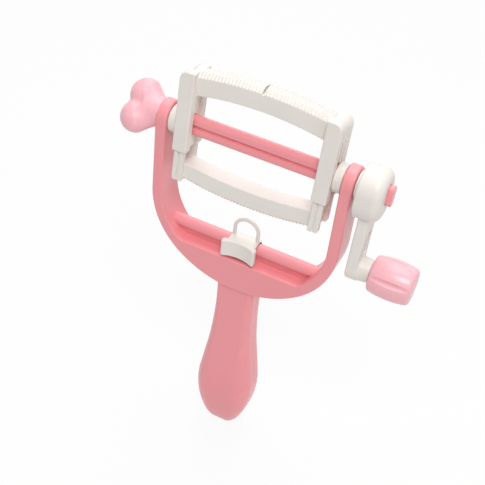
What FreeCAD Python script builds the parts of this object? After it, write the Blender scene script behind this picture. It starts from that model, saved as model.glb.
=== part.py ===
import FreeCAD, Part
import math
import os

# Hand-cranked pom pom winder, millimetres.
# X runs along the winding axis towards the crank, Y points to the back, Z up out of the handle.
# Every piece is built about the winding axis and lifted at the end, so that
# the flat end of the handle is at Z = 0.

V = FreeCAD.Vector

# Yoke: two arms, a bow and a crescent base
yoke_half_width = 50.0
arm_thickness = 5.7
yoke_depth = 16.7
bow_flat_half = 6.0
bow_radius_step = 10.0
bow_drop = 84.0
base_top_drop = 65.2
base_corner_radius = 5.0
yoke_edge_round = 0.9
tang_half_width = 6.5
tang_half_depth = 3.6
tang_length = 26.0

# Guide rail on its neck
rail_radius = 3.2
rail_lift = 6.2
rail_neck_thickness = 3.0
rail_foot_depth = 3.0
rail_foot_end_gap = 3.0
rail_end_gap = 0.05

# Handle: drop below the bow, half width, half depth, corner radius
handle_stations = [
    (-6.0, 10.9, 7.2, 3.5),
    (16.0, 10.5, 7.4, 4.0),
    (38.0, 11.7, 8.6, 5.0),
    (58.0, 14.4, 10.2, 6.5),
    (73.0, 16.2, 11.2, 8.0),
    (87.0, 14.8, 10.4, 7.5),
    (99.0, 10.8, 7.9, 5.5),
    (105.0, 7.4, 5.4, 4.0),
]
handle_wall = 2.4
handle_seat_gap = 0.1
cavity_top = 29.0
cavity_bottom = 99.0

# Handle screws: drop below the bow
screw_drops = [9.0, 20.0, 74.0]
screw_shank_radius = 1.3
screw_head_radius = 2.6
screw_head_height = 2.0
screw_head_sink = 1.2
screw_tip_cover = 2.4
screw_boss_radius = 3.8
screw_slot_width = 0.8
screw_slot_depth = 0.9

# Clearances
running_gap = 0.05
sliding_gap = 0.1
face_gap = 0.3
seat_gap = 0.05
overrun = 1.0

# Winding shaft: a long rounded bar with a groove along each flank
shaft_lobe_radius = 2.55
shaft_lobe_offset = 2.7
shaft_web_half = 1.3
shaft_groove_half = 0.9
shaft_plain_tip = 3.0
shaft_left_reach = 10.0
shaft_stub_length = 2.7
shaft_tip_round = 0.8

# Bearing bushes
bush_wall = 0.95
bush_flange_length = 4.6
bush_shoulder = 0.85

# Heart knob
heart_lobe_radius = 8.1
heart_lobe_offset = 5.9
heart_lobe_reach = 12.0
heart_neck_radius = 3.4
heart_socket_wall = 1.2
heart_flatness = 0.82
heart_turn = -44.0
heart_pin_radius = 1.0
heart_pin_reach = 3.6
heart_pin_length = 6.4

# Winding form, both halves
form_half_depth = 8.5
post_width = 7.5
post_depth = 5.0
post_wall = 1.0
post_bottom = 12.2
post_top_step = 2.6
post_corner_radius = 4.0
end_block_step = 3.6
end_block_corner_radius = 5.0
leg_end_gap = 2.0
end_wall_inset = 2.4
end_wall_thickness = 3.6
end_rib_width = 1.4

# Upper bar: heights at the middle and the drop at the posts
bar_half_depth = 5.1
bar_crown_half = 2.4
bar_crown_drop = 2.2
upper_bar_inner = 20.5
upper_bar_thickness = 11.1
upper_outer_sag = 2.9
upper_inner_sag = 3.4
lower_bar_inner = 21.7
lower_bar_thickness = 10.5
lower_outer_sag = 3.3
lower_inner_sag = 2.8
tooth_pitch = 1.7
tooth_height = 0.55
slit_width = 1.1
slit_depth = 2.6

# Legs of the lower half
leg_top = 12.0
leg_bottom_step = 3.8
leg_corner_radius = 1.6
leg_groove_width = 0.9
leg_groove_depth = 0.6
leg_block_inset = 2.0

# Crank
hub_gap = 2.1
hub_collar_radius = 7.0
hub_length = 12.2
hub_radius = 11.5
hub_drop = 3.4
hub_edge_round = 4.4
crank_radius = 42.0
arm_inset = 3.0
arm_plate = 5.4
arm_half_width = 6.6
arm_groove_half = 3.6
arm_groove_depth = 0.8
arm_groove_top = 22.0
boss_root_radius = 6.2
boss_tip_radius = 5.6
boss_length = 5.8
spring_thickness = 0.5
spring_width = 6.0
spring_length = 9.0
hub_screw_radius = 1.2
hub_screw_length = 8.0
hub_screw_offset = 5.0
hub_screw_drop = 11.0

# Crank knob
knob_length = 20.6
knob_end_radius = 8.7
knob_swell = 1.3
knob_flutes = 5
flute_radius = 1.5
flute_depth = 1.1
knob_edge_round = 1.2
knob_pin_radius = 2.5
knob_pin_head_radius = 4.2
knob_pin_head_height = 2.0
knob_pin_thread_radius = 1.6
knob_pin_thread_length = 7.0
knob_well_radius = 5.2
knob_well_depth = 6.0
knob_cap_thickness = 2.2

# Yarn guide
guide_half_width = 9.2
guide_height = 9.4
guide_plate_dip = 3.8
guide_front = 10.4
guide_plate_thickness = 3.0
guide_scoop_depth = 2.6
guide_plate_round = 1.0
guide_block_side = 0.1
guide_roof = 1.0
guide_jaw_thickness = 1.2
guide_jaw_drop = 1.8
guide_rail_gap = 0.2
eye_ring_radius = 6.35
eye_wire_radius = 0.95
eye_ring_lift = 9.05

# Rest turn of everything that turns on the winding axis
rest_turn = -6.0

# Worked out from the sizes above
eye_radius = yoke_depth / 2
arm_inner = yoke_half_width - arm_thickness
bow_corner_radius = yoke_half_width - bow_flat_half
bow_bottom_radius = bow_corner_radius + bow_radius_step
handle_length = handle_stations[-1][0]
axis_height = bow_drop + handle_length
rail_drop = base_top_drop - rail_lift
shaft_half_height = shaft_lobe_offset + shaft_lobe_radius
bush_sleeve_radius = shaft_half_height + sliding_gap + bush_wall
eye_bore_radius = bush_sleeve_radius + running_gap
bush_flange_radius = bush_sleeve_radius + bush_shoulder
form_half_width = arm_inner - bush_flange_length
upper_bar_outer = upper_bar_inner + upper_bar_thickness
lower_bar_outer = lower_bar_inner + lower_bar_thickness
post_top = upper_bar_outer - post_top_step
end_block_top = upper_bar_outer - end_block_step
socket_top = leg_top + leg_end_gap
leg_bottom = lower_bar_outer - leg_bottom_step
crank_start = yoke_half_width + hub_gap
crank_end = crank_start + hub_length
shaft_left_end = yoke_half_width + shaft_left_reach
shaft_right_end = crank_end + shaft_stub_length
arm_outer = crank_start + arm_inset + arm_plate
boss_tip = arm_outer + boss_length
knob_mid_radius = knob_end_radius + knob_swell
knob_bore_radius = knob_pin_radius + running_gap
guide_bottom_drop = rail_drop + guide_plate_dip
guide_block_half = eye_ring_radius + eye_wire_radius + guide_block_side
eye_ring_drop = rail_drop - eye_ring_lift
post_inner = form_half_width - post_width
end_wall_outer = form_half_width - end_wall_inset
end_wall_inner = end_wall_outer - end_wall_thickness
knob_start = boss_tip + face_gap
spring_inner_y = shaft_lobe_radius + seat_gap
guide_block_top = -rail_drop + rail_radius + guide_rail_gap + guide_roof
AXIS_X = V(1, 0, 0)
ORIGIN = V(0, 0, 0)


def box(x0, x1, y0, y1, z0, z1):
    """Axis-aligned block between two corners."""
    return Part.makeBox(x1 - x0, y1 - y0, z1 - z0, V(x0, y0, z0))


def rod(x0, x1, radius, y=0.0, z=0.0):
    """Round bar along X."""
    return Part.makeCylinder(radius, x1 - x0, V(x0, y, z), AXIS_X)


def rod_y(y0, y1, radius, x=0.0, z=0.0):
    """Round bar along Y."""
    return Part.makeCylinder(radius, y1 - y0, V(x, y0, z), V(0, 1, 0))


def mirrored_x(shape):
    """The same piece on the other side of the middle plane X = 0."""
    return shape.mirror(ORIGIN, AXIS_X)


def mirrored_y(shape):
    """The same piece on the other side of the plane Y = 0."""
    return shape.mirror(ORIGIN, V(0, 1, 0))


def fused(shapes):
    """One solid from touching or overlapping shapes, with merged faces."""
    result = shapes[0]
    for shape in shapes[1:]:
        result = result.fuse(shape)
    return result.removeSplitter()


def turned(shape):
    """Everything on the winding axis stands at its rest turn."""
    moved = shape.copy()
    moved.rotate(ORIGIN, AXIS_X, rest_turn)
    return moved


def save(name, shape):
    """Lift a piece to the part's own frame and write it."""
    placed = shape.copy()
    placed.translate(V(0, 0, axis_height))
    placed.exportStep("parts/" + name + ".step")
    count = len(placed.Solids)
    print(name, "solids", count, "valid", placed.isValid(), "volume", round(placed.Volume, 1))


def edges_where(shape, test):
    """Edges whose middle point and box pass a test."""
    return [edge for edge in shape.Edges if test(edge)]


def point_xz(x, z):
    """Point on the plane Y = 0."""
    return V(x, 0, z)


def arc_about(centre, radius, start_angle, end_angle):
    """Arc on the plane Y = 0 about a centre, angles in radians from +X towards +Z."""
    mid_angle = (start_angle + end_angle) / 2
    points = []
    for angle in (start_angle, mid_angle, end_angle):
        points.append(V(centre.x + radius * math.cos(angle), 0, centre.z + radius * math.sin(angle)))
    return Part.Arc(points[0], points[1], points[2]).toShape()


def bow_region(inset, top):
    """Face on Y = 0 inside the bow's three arcs, moved in by an inset, up to a top height."""
    half = yoke_half_width - inset
    corner = bow_corner_radius - inset
    bottom = bow_bottom_radius - inset
    bottom_centre = point_xz(0, bow_bottom_radius - bow_drop)
    across = yoke_half_width - bow_corner_radius
    down = math.sqrt((bow_bottom_radius - bow_corner_radius) ** 2 - across ** 2)
    right_centre = point_xz(across, bottom_centre.z - down)
    left_centre = point_xz(-across, right_centre.z)
    lean = math.atan2(-down, across)
    right_arc = arc_about(right_centre, corner, 0.0, lean)
    bottom_arc = arc_about(bottom_centre, bottom, lean, -math.pi - lean)
    left_arc = arc_about(left_centre, corner, -math.pi - lean, -math.pi)
    right_side = Part.LineSegment(point_xz(half, top), point_xz(half, right_centre.z)).toShape()
    left_side = Part.LineSegment(point_xz(-half, left_centre.z), point_xz(-half, top)).toShape()
    lid = Part.LineSegment(point_xz(-half, top), point_xz(half, top)).toShape()
    return Part.Face(Part.Wire([right_side, right_arc, bottom_arc, left_arc, left_side, lid]))


def slab(face, half_depth):
    """A face on Y = 0 thickened evenly to both sides."""
    moved = face.copy()
    moved.translate(V(0, -half_depth, 0))
    return moved.extrude(V(0, 2 * half_depth, 0))


def inner_gap(inset, floor_drop, half_depth):
    """The space between the arms above a floor height, with rounded lower corners."""
    space = slab(bow_region(inset, 2 * eye_radius), half_depth)
    above = box(-yoke_half_width, yoke_half_width, -half_depth, half_depth, -floor_drop, 2 * eye_radius)
    space = space.common(above)
    corners = edges_where(space, lambda e: abs(e.CenterOfMass.y) < 1e-6
                          and e.CenterOfMass.z < -floor_drop + 1e-6)
    return space.makeFillet(base_corner_radius, corners)


def shaft_section(gap, x0, x1):
    """Bar with the shaft's long rounded section, grown by a gap."""
    lobe = shaft_lobe_radius + gap
    upper = rod(x0, x1, lobe, 0, shaft_lobe_offset)
    lower = rod(x0, x1, lobe, 0, -shaft_lobe_offset)
    middle = box(x0, x1, -lobe, lobe, -shaft_lobe_offset, shaft_lobe_offset)
    return fused([upper, lower, middle])


def make_yoke():
    """Arms, bow and crescent base with the eyes, the rail slot and the handle tang."""
    half_depth = yoke_depth / 2
    body = slab(bow_region(0, 0), half_depth).cut(inner_gap(arm_thickness, base_top_drop, yoke_depth))
    long_edges = edges_where(body, lambda e: abs(abs(e.CenterOfMass.y) - half_depth) < 1e-6
                             and e.CenterOfMass.z < -1e-6)
    body = body.makeFillet(yoke_edge_round, long_edges)
    eye = rod(arm_inner, yoke_half_width, eye_radius)
    tang = box(-tang_half_width, tang_half_width, -tang_half_depth, tang_half_depth,
               -bow_drop - tang_length, -base_top_drop - rail_foot_depth - overrun)
    body = fused([body, eye, mirrored_x(eye), tang])
    body = body.cut(rod(-yoke_half_width, yoke_half_width, eye_bore_radius))
    body = body.cut(rail_foot(seat_gap))
    hole_radius = screw_shank_radius + sliding_gap
    for drop in screw_drops:
        if drop < tang_length:
            body = body.cut(rod_y(-yoke_depth, yoke_depth, hole_radius, 0, -bow_drop - drop))
    return body


def rail_reach(drop):
    """Half width between the arms' inner faces at a drop below the winding axis."""
    across = yoke_half_width - bow_corner_radius
    down = math.sqrt((bow_bottom_radius - bow_corner_radius) ** 2 - across ** 2)
    centre_drop = bow_drop - bow_bottom_radius + down
    corner = bow_corner_radius - arm_thickness
    return across + math.sqrt(corner ** 2 - (drop - centre_drop) ** 2)


def rail_foot(gap):
    """The part of the rail that sits in the base, grown sideways by a gap."""
    half = rail_reach(base_top_drop) - rail_foot_end_gap + gap
    thick = rail_neck_thickness / 2 + gap
    return box(-half, half, -thick, thick, -base_top_drop - rail_foot_depth, -rail_drop)


def make_guide_rail():
    """Round rail on a thin neck, its ends cut to the inner faces of the arms."""
    reach = yoke_half_width
    thick = rail_neck_thickness / 2
    bar = rod(-reach, reach, rail_radius, 0, -rail_drop)
    neck = box(-reach, reach, -thick, thick, -base_top_drop, -rail_drop)
    above = fused([bar, neck]).common(inner_gap(arm_thickness + rail_end_gap, base_top_drop, yoke_depth))
    return fused([above, rail_foot(0)])


def rounded_section(half_width, half_depth, corner, z):
    """Rounded rectangle wire at a height."""
    across = half_width - corner
    deep = half_depth - corner
    edges = []
    corners = [(across, deep, 0), (-across, deep, 90), (-across, -deep, 180), (across, -deep, 270)]
    for index, (x, y, angle) in enumerate(corners):
        points = []
        for step in (0, 45, 90):
            turn = math.radians(angle + step)
            points.append(V(x + corner * math.cos(turn), y + corner * math.sin(turn), z))
        edges.append(Part.Arc(points[0], points[1], points[2]).toShape())
        next_x, next_y, next_angle = corners[(index + 1) % 4]
        turn = math.radians(next_angle)
        next_point = V(next_x + corner * math.cos(turn), next_y + corner * math.sin(turn), z)
        edges.append(Part.LineSegment(points[2], next_point).toShape())
    return Part.Wire(edges)


def handle_loft(inset):
    """Handle body through its stations, moved in by an inset."""
    wires = []
    for drop, half_width, half_depth, corner in handle_stations:
        wires.append(rounded_section(half_width - inset, half_depth - inset, corner - inset / 2,
                                     -bow_drop - drop))
    return Part.makeLoft(wires, True, False)


def handle_half_depth(drop):
    """Half depth of the handle at a drop below the bow, between its stations."""
    for upper, lower in zip(handle_stations, handle_stations[1:]):
        if upper[0] <= drop <= lower[0]:
            share = (drop - upper[0]) / (lower[0] - upper[0])
            return upper[2] + share * (lower[2] - upper[2])
    return handle_stations[-1][2]


def screw_seat(drop):
    """Y of the underside of a handle screw's head."""
    return handle_half_depth(drop) - screw_head_sink - screw_head_height


def screw_tip(drop):
    """Y of a handle screw's tip."""
    return -handle_half_depth(drop) + screw_tip_cover


def make_handle_shells():
    """Front and rear shells that meet on Y = 0 and clamp the yoke's tang."""
    outer = handle_loft(0)
    cavity_slice = box(-yoke_half_width, yoke_half_width, -yoke_depth, yoke_depth,
                       -bow_drop - cavity_bottom, -bow_drop - cavity_top)
    cavity = handle_loft(handle_wall).common(cavity_slice)
    body = outer.cut(cavity)
    for drop in screw_drops:
        boss = rod_y(-yoke_depth, yoke_depth, screw_boss_radius, 0, -bow_drop - drop)
        body = body.fuse(boss.common(outer))
    bow = slab(bow_region(-handle_seat_gap, 0), yoke_depth)
    tang_hole = box(-tang_half_width - sliding_gap, tang_half_width + sliding_gap,
                    -tang_half_depth - sliding_gap, tang_half_depth + sliding_gap,
                    -bow_drop - tang_length - sliding_gap, -base_top_drop)
    body = body.cut(bow).cut(tang_hole)
    for drop in screw_drops:
        z = -bow_drop - drop
        seat = screw_seat(drop)
        body = body.cut(rod_y(screw_tip(drop) - face_gap, seat + yoke_depth,
                              screw_shank_radius + seat_gap, 0, z))
        body = body.cut(rod_y(seat, seat + yoke_depth, screw_head_radius + sliding_gap, 0, z))
    reach = 2 * yoke_half_width
    front = body.common(box(-reach, reach, -reach, 0, -2 * axis_height, 0))
    rear = body.common(box(-reach, reach, 0, reach, -2 * axis_height, 0))
    return front, rear


def slotted_screw(seat, tip, head_radius, head_height, shank_radius):
    """Pan-head screw along Y with its head towards +Y and a single slot."""
    head = rod_y(seat, seat + head_height, head_radius)
    shank = rod_y(tip, seat, shank_radius)
    slot = box(-screw_slot_width / 2, screw_slot_width / 2, seat + head_height - screw_slot_depth,
               seat + head_height, -head_radius, head_radius)
    return fused([head, shank]).cut(slot)


def make_handle_screws():
    """Three screws that hold the shells together, two of them through the tang."""
    screws = []
    for drop in screw_drops:
        screw = slotted_screw(screw_seat(drop), screw_tip(drop), screw_head_radius,
                              screw_head_height, screw_shank_radius)
        screw.translate(V(0, 0, -bow_drop - drop))
        screws.append(screw)
    return Part.makeCompound(screws)


def make_bush():
    """Flanged bush for the +X eye: flange between form and arm, sleeve through the eye, keyed bore."""
    outer_end = yoke_half_width
    flange = rod(form_half_width + seat_gap, arm_inner - face_gap, bush_flange_radius)
    sleeve = rod(arm_inner - face_gap, outer_end, bush_sleeve_radius)
    bush = fused([flange, sleeve])
    return bush.cut(shaft_section(sliding_gap, form_half_width - overrun, outer_end + overrun))


def make_shaft():
    """Shaft from inside the heart knob to just outside the crank hub, grooved up to its plain tip."""
    bar = shaft_section(0, -shaft_left_end, shaft_right_end)
    tip_edges = edges_where(bar, lambda e: e.BoundBox.XMin > shaft_right_end - 1e-6)
    bar = bar.makeChamfer(shaft_tip_round, tip_edges)
    groove = box(-shaft_left_end - overrun, shaft_right_end - shaft_plain_tip,
                 shaft_web_half, shaft_lobe_radius + overrun, -shaft_groove_half, shaft_groove_half)
    bar = bar.cut(groove).cut(mirrored_y(groove))
    return bar.cut(heart_pin_hole(seat_gap))


def heart_pin_hole(gap):
    """Cross pin through the heart knob's stem and the shaft."""
    x = -yoke_half_width - heart_pin_reach
    return rod_y(-heart_pin_length / 2 - gap, heart_pin_length / 2 + gap, heart_pin_radius + gap, x, 0)


def teardrop(side):
    """One lobe: a ball with a cone that narrows to the stem."""
    stem = point_xz(-yoke_half_width - face_gap, 0)
    centre = point_xz(-yoke_half_width - heart_lobe_reach, side * heart_lobe_offset)
    ball = Part.makeSphere(heart_lobe_radius, centre)
    run = stem.sub(centre)
    lean = math.asin((heart_lobe_radius - heart_neck_radius) / run.Length)
    start = heart_lobe_radius * math.sin(lean)
    start_radius = heart_lobe_radius * math.cos(lean)
    end_radius = start_radius - (run.Length - start) * math.tan(lean)
    base = centre.add(V(run).multiply(start / run.Length))
    cone = Part.makeCone(start_radius, end_radius, run.Length - start, base, run)
    return fused([ball, cone])


def make_heart_knob():
    """Plump heart whose point runs into a round stem, with a keyed socket for the shaft."""
    lobes = fused([teardrop(1), teardrop(-1)])
    squeeze = FreeCAD.Matrix()
    squeeze.scale(1.0, heart_flatness, 1.0)
    lobes = lobes.transformGeometry(squeeze)
    lobes.rotate(ORIGIN, AXIS_X, heart_turn)
    side = yoke_half_width
    trimmed = lobes.cut(box(-side - face_gap, 0, -side, side, -side, side))
    socket_end = -shaft_left_end - seat_gap
    stem = rod(socket_end - heart_socket_wall, -yoke_half_width - face_gap,
               shaft_half_height + heart_socket_wall)
    knob = trimmed.fuse(stem)
    knob = knob.cut(shaft_section(seat_gap, socket_end, 0))
    return knob.cut(heart_pin_hole(seat_gap))


def make_heart_pin():
    """Cross pin that holds the heart knob on the shaft."""
    return heart_pin_hole(0)


def arch_face(inner, inner_sag, outer, outer_sag, half_span, y):
    """Side face of a bar: plain arc inside, toothed arc outside, on a plane Y = y."""
    count = int(round(2 * half_span / tooth_pitch))
    points = []
    for step in range(count + 1):
        x = -half_span + 2 * half_span * step / count
        z = outer - outer_sag * (x / half_span) ** 2
        points.append(V(x, y, z - tooth_height))
        if step < count:
            top_x = x + half_span / count
            top_z = outer - outer_sag * (top_x / half_span) ** 2
            points.append(V(top_x, y, top_z))
    edges = [Part.LineSegment(a, b).toShape() for a, b in zip(points, points[1:])]
    right_foot = V(half_span, y, inner - inner_sag)
    left_foot = V(-half_span, y, inner - inner_sag)
    edges.append(Part.LineSegment(points[-1], right_foot).toShape())
    edges.append(Part.Arc(right_foot, V(0, y, inner), left_foot).toShape())
    edges.append(Part.LineSegment(left_foot, points[0]).toShape())
    return Part.Face(Part.Wire(edges))


def make_bar(inner, inner_sag, outer, outer_sag, half_span):
    """Arched bar, bowed up, with a toothed crown that falls away to its front and rear faces."""
    side = bar_half_depth - bar_crown_half
    crown_face = arch_face(inner, inner_sag, outer, outer_sag, half_span, -bar_crown_half)
    middle = crown_face.extrude(V(0, 2 * bar_crown_half, 0))
    tall_face = arch_face(inner - bar_crown_drop, inner_sag, outer, outer_sag, half_span, -bar_crown_half)
    slope = tall_face.extrude(V(0, -side, -bar_crown_drop))
    under = slab(floor_face(inner, inner_sag, half_span), 2 * bar_half_depth)
    slope = slope.cut(under)
    return fused([middle, slope, mirrored_y(slope)])


def floor_face(inner, inner_sag, half_span):
    """Face between the winding axis and a bar's inner arc."""
    right = V(half_span, 0, inner - inner_sag)
    left = V(-half_span, 0, inner - inner_sag)
    low_right = V(half_span, 0, 0)
    low_left = V(-half_span, 0, 0)
    edges = [
        Part.Arc(left, V(0, 0, inner), right).toShape(),
        Part.LineSegment(right, low_right).toShape(),
        Part.LineSegment(low_right, low_left).toShape(),
        Part.LineSegment(low_left, left).toShape(),
    ]
    return Part.Face(Part.Wire(edges))


def end_block(y0, y1, bottom, top, corner_radius):
    """Upright block at the +X end of the form with its outer top corner rounded."""
    block = box(post_inner, form_half_width, y0, y1, bottom, top)
    corner = edges_where(block, lambda e: e.BoundBox.ZMin > top - 1e-6
                         and e.BoundBox.XMin > form_half_width - 1e-6)
    return block.makeFillet(corner_radius, corner)


def make_winding_top():
    """Upper half: bowed bar, four hollow posts and two end walls with the keyed shaft hole."""
    bar = make_bar(upper_bar_inner, upper_inner_sag, upper_bar_outer, upper_outer_sag, post_inner + overrun)
    front_y = -form_half_depth
    post = end_block(front_y, front_y + post_depth, -post_bottom, post_top, post_corner_radius)
    rear_post = mirrored_y(end_block(front_y, front_y + post_depth, -post_bottom, end_block_top,
                                     end_block_corner_radius))
    socket = box(post_inner + post_wall, form_half_width - post_wall, front_y + post_wall,
                 front_y + post_depth - post_wall, -post_bottom, socket_top)
    post = post.cut(socket)
    rear_post = rear_post.cut(mirrored_y(socket))
    wall = box(end_wall_inner, end_wall_outer, -form_half_depth + post_depth, form_half_depth - post_depth,
               -post_bottom, upper_bar_inner)
    block = end_block(-bar_half_depth, bar_half_depth, upper_bar_inner - upper_inner_sag, end_block_top,
                      end_block_corner_radius)
    rib = box(end_wall_outer, form_half_width, -end_rib_width / 2, end_rib_width / 2,
              bush_flange_radius, upper_bar_inner)
    end = fused([post, rear_post, wall, block, rib])
    form = fused([bar, end, mirrored_x(end)])
    form = form.cut(shaft_section(sliding_gap, -form_half_width - overrun, form_half_width + overrun))
    slit = box(-slit_width / 2, slit_width / 2, -bar_half_depth, bar_half_depth,
               upper_bar_outer - slit_depth - tooth_height, upper_bar_outer + overrun)
    return form.cut(slit)


def make_winding_bottom():
    """Lower half: bowed bar with four legs that slide in the posts."""
    gap = sliding_gap
    leg_x0 = post_inner + post_wall + gap
    bar = make_bar(lower_bar_inner, lower_inner_sag, lower_bar_outer, lower_outer_sag, leg_x0 + overrun)
    bar.rotate(ORIGIN, AXIS_X, 180)
    leg_x1 = form_half_width - post_wall - gap
    leg_y0 = -form_half_depth + post_wall + gap
    leg_y1 = -form_half_depth + post_depth - post_wall - gap
    leg = box(leg_x0, leg_x1, leg_y0, leg_y1, -leg_bottom, leg_top)
    foot = edges_where(leg, lambda e: e.BoundBox.ZMax < -leg_bottom + 1e-6
                       and e.BoundBox.XMin > leg_x1 - 1e-6)
    leg = leg.makeFillet(leg_corner_radius, foot)
    groove_x = (leg_x0 + leg_x1) / 2
    groove = box(groove_x - leg_groove_width / 2, groove_x + leg_groove_width / 2,
                 leg_y0, leg_y0 + leg_groove_depth, -leg_bottom, -post_bottom)
    leg = leg.cut(groove)
    block = box(leg_x0, leg_x1 - leg_block_inset, leg_y1, -leg_y1,
                -leg_bottom, -lower_bar_inner + lower_inner_sag)
    end = fused([leg, mirrored_y(leg), block])
    return fused([bar, end, mirrored_x(end)])


def pill(x0, x1, radius, drop):
    """Long round block along X: a round end on the axis and another one below it."""
    upper = rod(x0, x1, radius)
    lower = rod(x0, x1, radius, 0, -drop)
    middle = box(x0, x1, -radius, radius, -drop, 0)
    return fused([upper, lower, middle])


def arm_outline(gap):
    """Crank arm plate from inside the hub to the knob axis, grown by a gap."""
    x0 = crank_start + arm_inset - gap
    x1 = arm_outer + gap
    half = arm_half_width + gap
    lower = rod(x0, x1, half, 0, -crank_radius)
    upper = rod(x0, x1, half, 0, -hub_drop)
    middle = box(x0, x1, -half, half, -crank_radius, -hub_drop)
    return fused([upper, lower, middle])


def make_crank_hub():
    """Bulky hub with a keyed bore and a pocket for the arm's upper end."""
    hub = pill(crank_start, crank_end, hub_radius, hub_drop)
    rim = edges_where(hub, lambda e: e.BoundBox.XMin > crank_end - 1e-6)
    hub = hub.makeFillet(hub_edge_round, rim)
    hub = fused([hub, rod(yoke_half_width + face_gap, crank_start, hub_collar_radius)])
    hub = hub.cut(arm_outline(seat_gap))
    hub = hub.cut(shaft_section(sliding_gap, yoke_half_width, crank_end + overrun))
    hub = hub.cut(spring_pocket())
    for y, z in hub_screw_places():
        hole_end = crank_start + hub_screw_length + face_gap
        hub = hub.cut(rod(crank_start, hole_end, hub_screw_radius + seat_gap, y, z))
    return hub


def hub_screw_places():
    """Y and Z of the two screws that hold the arm in the hub."""
    return [(-hub_screw_offset, -hub_screw_drop), (hub_screw_offset, -hub_screw_drop)]


def make_shaft_spring():
    """Leaf spring that lies along the shaft's flank inside the hub."""
    x1 = crank_end - (hub_length - spring_length) / 2
    return box(x1 - spring_length, x1, spring_inner_y, spring_inner_y + spring_thickness,
               -spring_width / 2, spring_width / 2)


def spring_pocket():
    """Room for the spring beside the shaft's flank."""
    spring = make_shaft_spring().BoundBox
    return box(spring.XMin - seat_gap, spring.XMax + seat_gap, 0, spring.YMax + seat_gap,
               spring.ZMin - seat_gap, spring.ZMax + seat_gap)


def make_crank_arm():
    """Arm plate with a fork round the shaft, a grooved outer face and the boss that carries the knob."""
    arm = arm_outline(0)
    boss = Part.makeCone(boss_root_radius, boss_tip_radius, boss_tip - arm_outer,
                         V(arm_outer, 0, -crank_radius), AXIS_X)
    groove = box(arm_outer - arm_groove_depth, arm_outer, -arm_groove_half, arm_groove_half,
                 -crank_radius + boss_root_radius, -arm_groove_top)
    arm = fused([arm, boss]).cut(groove)
    fork_half = spring_inner_y + spring_thickness + seat_gap
    fork_bottom = shaft_half_height + 2 * sliding_gap
    arm = arm.cut(box(crank_start, crank_end, -fork_half, fork_half, -fork_bottom, hub_radius))
    thread = rod(boss_tip - knob_pin_thread_length - face_gap, boss_tip, knob_pin_thread_radius + seat_gap,
                 0, -crank_radius)
    arm = arm.cut(thread)
    for y, z in hub_screw_places():
        arm = arm.cut(rod(crank_start, crank_end, hub_screw_radius + seat_gap, y, z))
    return arm


def make_hub_screws():
    """Two headless screws from the yoke's side through the hub's inner wall and the arm."""
    screws = []
    for y, z in hub_screw_places():
        screws.append(rod(crank_start, crank_start + hub_screw_length, hub_screw_radius, y, z))
    return Part.makeCompound(screws)


def make_knob():
    """Barrel knob with long flutes, a bore for its pin and a well for the pin's head."""
    x0 = knob_start
    x1 = knob_start + knob_length
    start = V(x0, 0, 0)
    end = V(x1, 0, 0)
    rim_start = V(x0, 0, knob_end_radius)
    rim_end = V(x1, 0, knob_end_radius)
    swell = V((x0 + x1) / 2, 0, knob_mid_radius)
    outline = Part.Wire([
        Part.LineSegment(start, rim_start).toShape(),
        Part.Arc(rim_start, swell, rim_end).toShape(),
        Part.LineSegment(rim_end, end).toShape(),
        Part.LineSegment(end, start).toShape(),
    ])
    barrel = Part.Face(outline).revolve(ORIGIN, AXIS_X, 360)
    rims = edges_where(barrel, lambda e: e.BoundBox.XLength < 1e-6 and e.BoundBox.ZLength > knob_end_radius)
    barrel = barrel.makeFillet(knob_edge_round, rims)
    for number in range(knob_flutes):
        flute = rod(x0 - overrun, x1 + overrun, flute_radius, 0, knob_mid_radius + flute_radius - flute_depth)
        flute.rotate(ORIGIN, AXIS_X, 360.0 * number / knob_flutes)
        barrel = barrel.cut(flute)
    barrel = barrel.cut(rod(x0, x1, knob_bore_radius))
    barrel = barrel.cut(rod(x1 - knob_well_depth, x1, knob_well_radius))
    barrel.translate(V(0, 0, -crank_radius))
    return barrel


def make_knob_pin():
    """Shoulder pin: thread in the boss, smooth length in the knob and a head in its well."""
    well_floor = knob_start + knob_length - knob_well_depth
    thread = rod(boss_tip - knob_pin_thread_length, boss_tip, knob_pin_thread_radius, 0, -crank_radius)
    shoulder = rod(boss_tip, well_floor + face_gap, knob_pin_radius, 0, -crank_radius)
    head = rod(well_floor + face_gap, well_floor + face_gap + knob_pin_head_height,
               knob_pin_head_radius, 0, -crank_radius)
    return fused([thread, shoulder, head])


def make_knob_cap():
    """Plug that closes the knob's well."""
    x1 = knob_start + knob_length
    return rod(x1 - knob_cap_thickness, x1, knob_well_radius - seat_gap, 0, -crank_radius)


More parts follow.
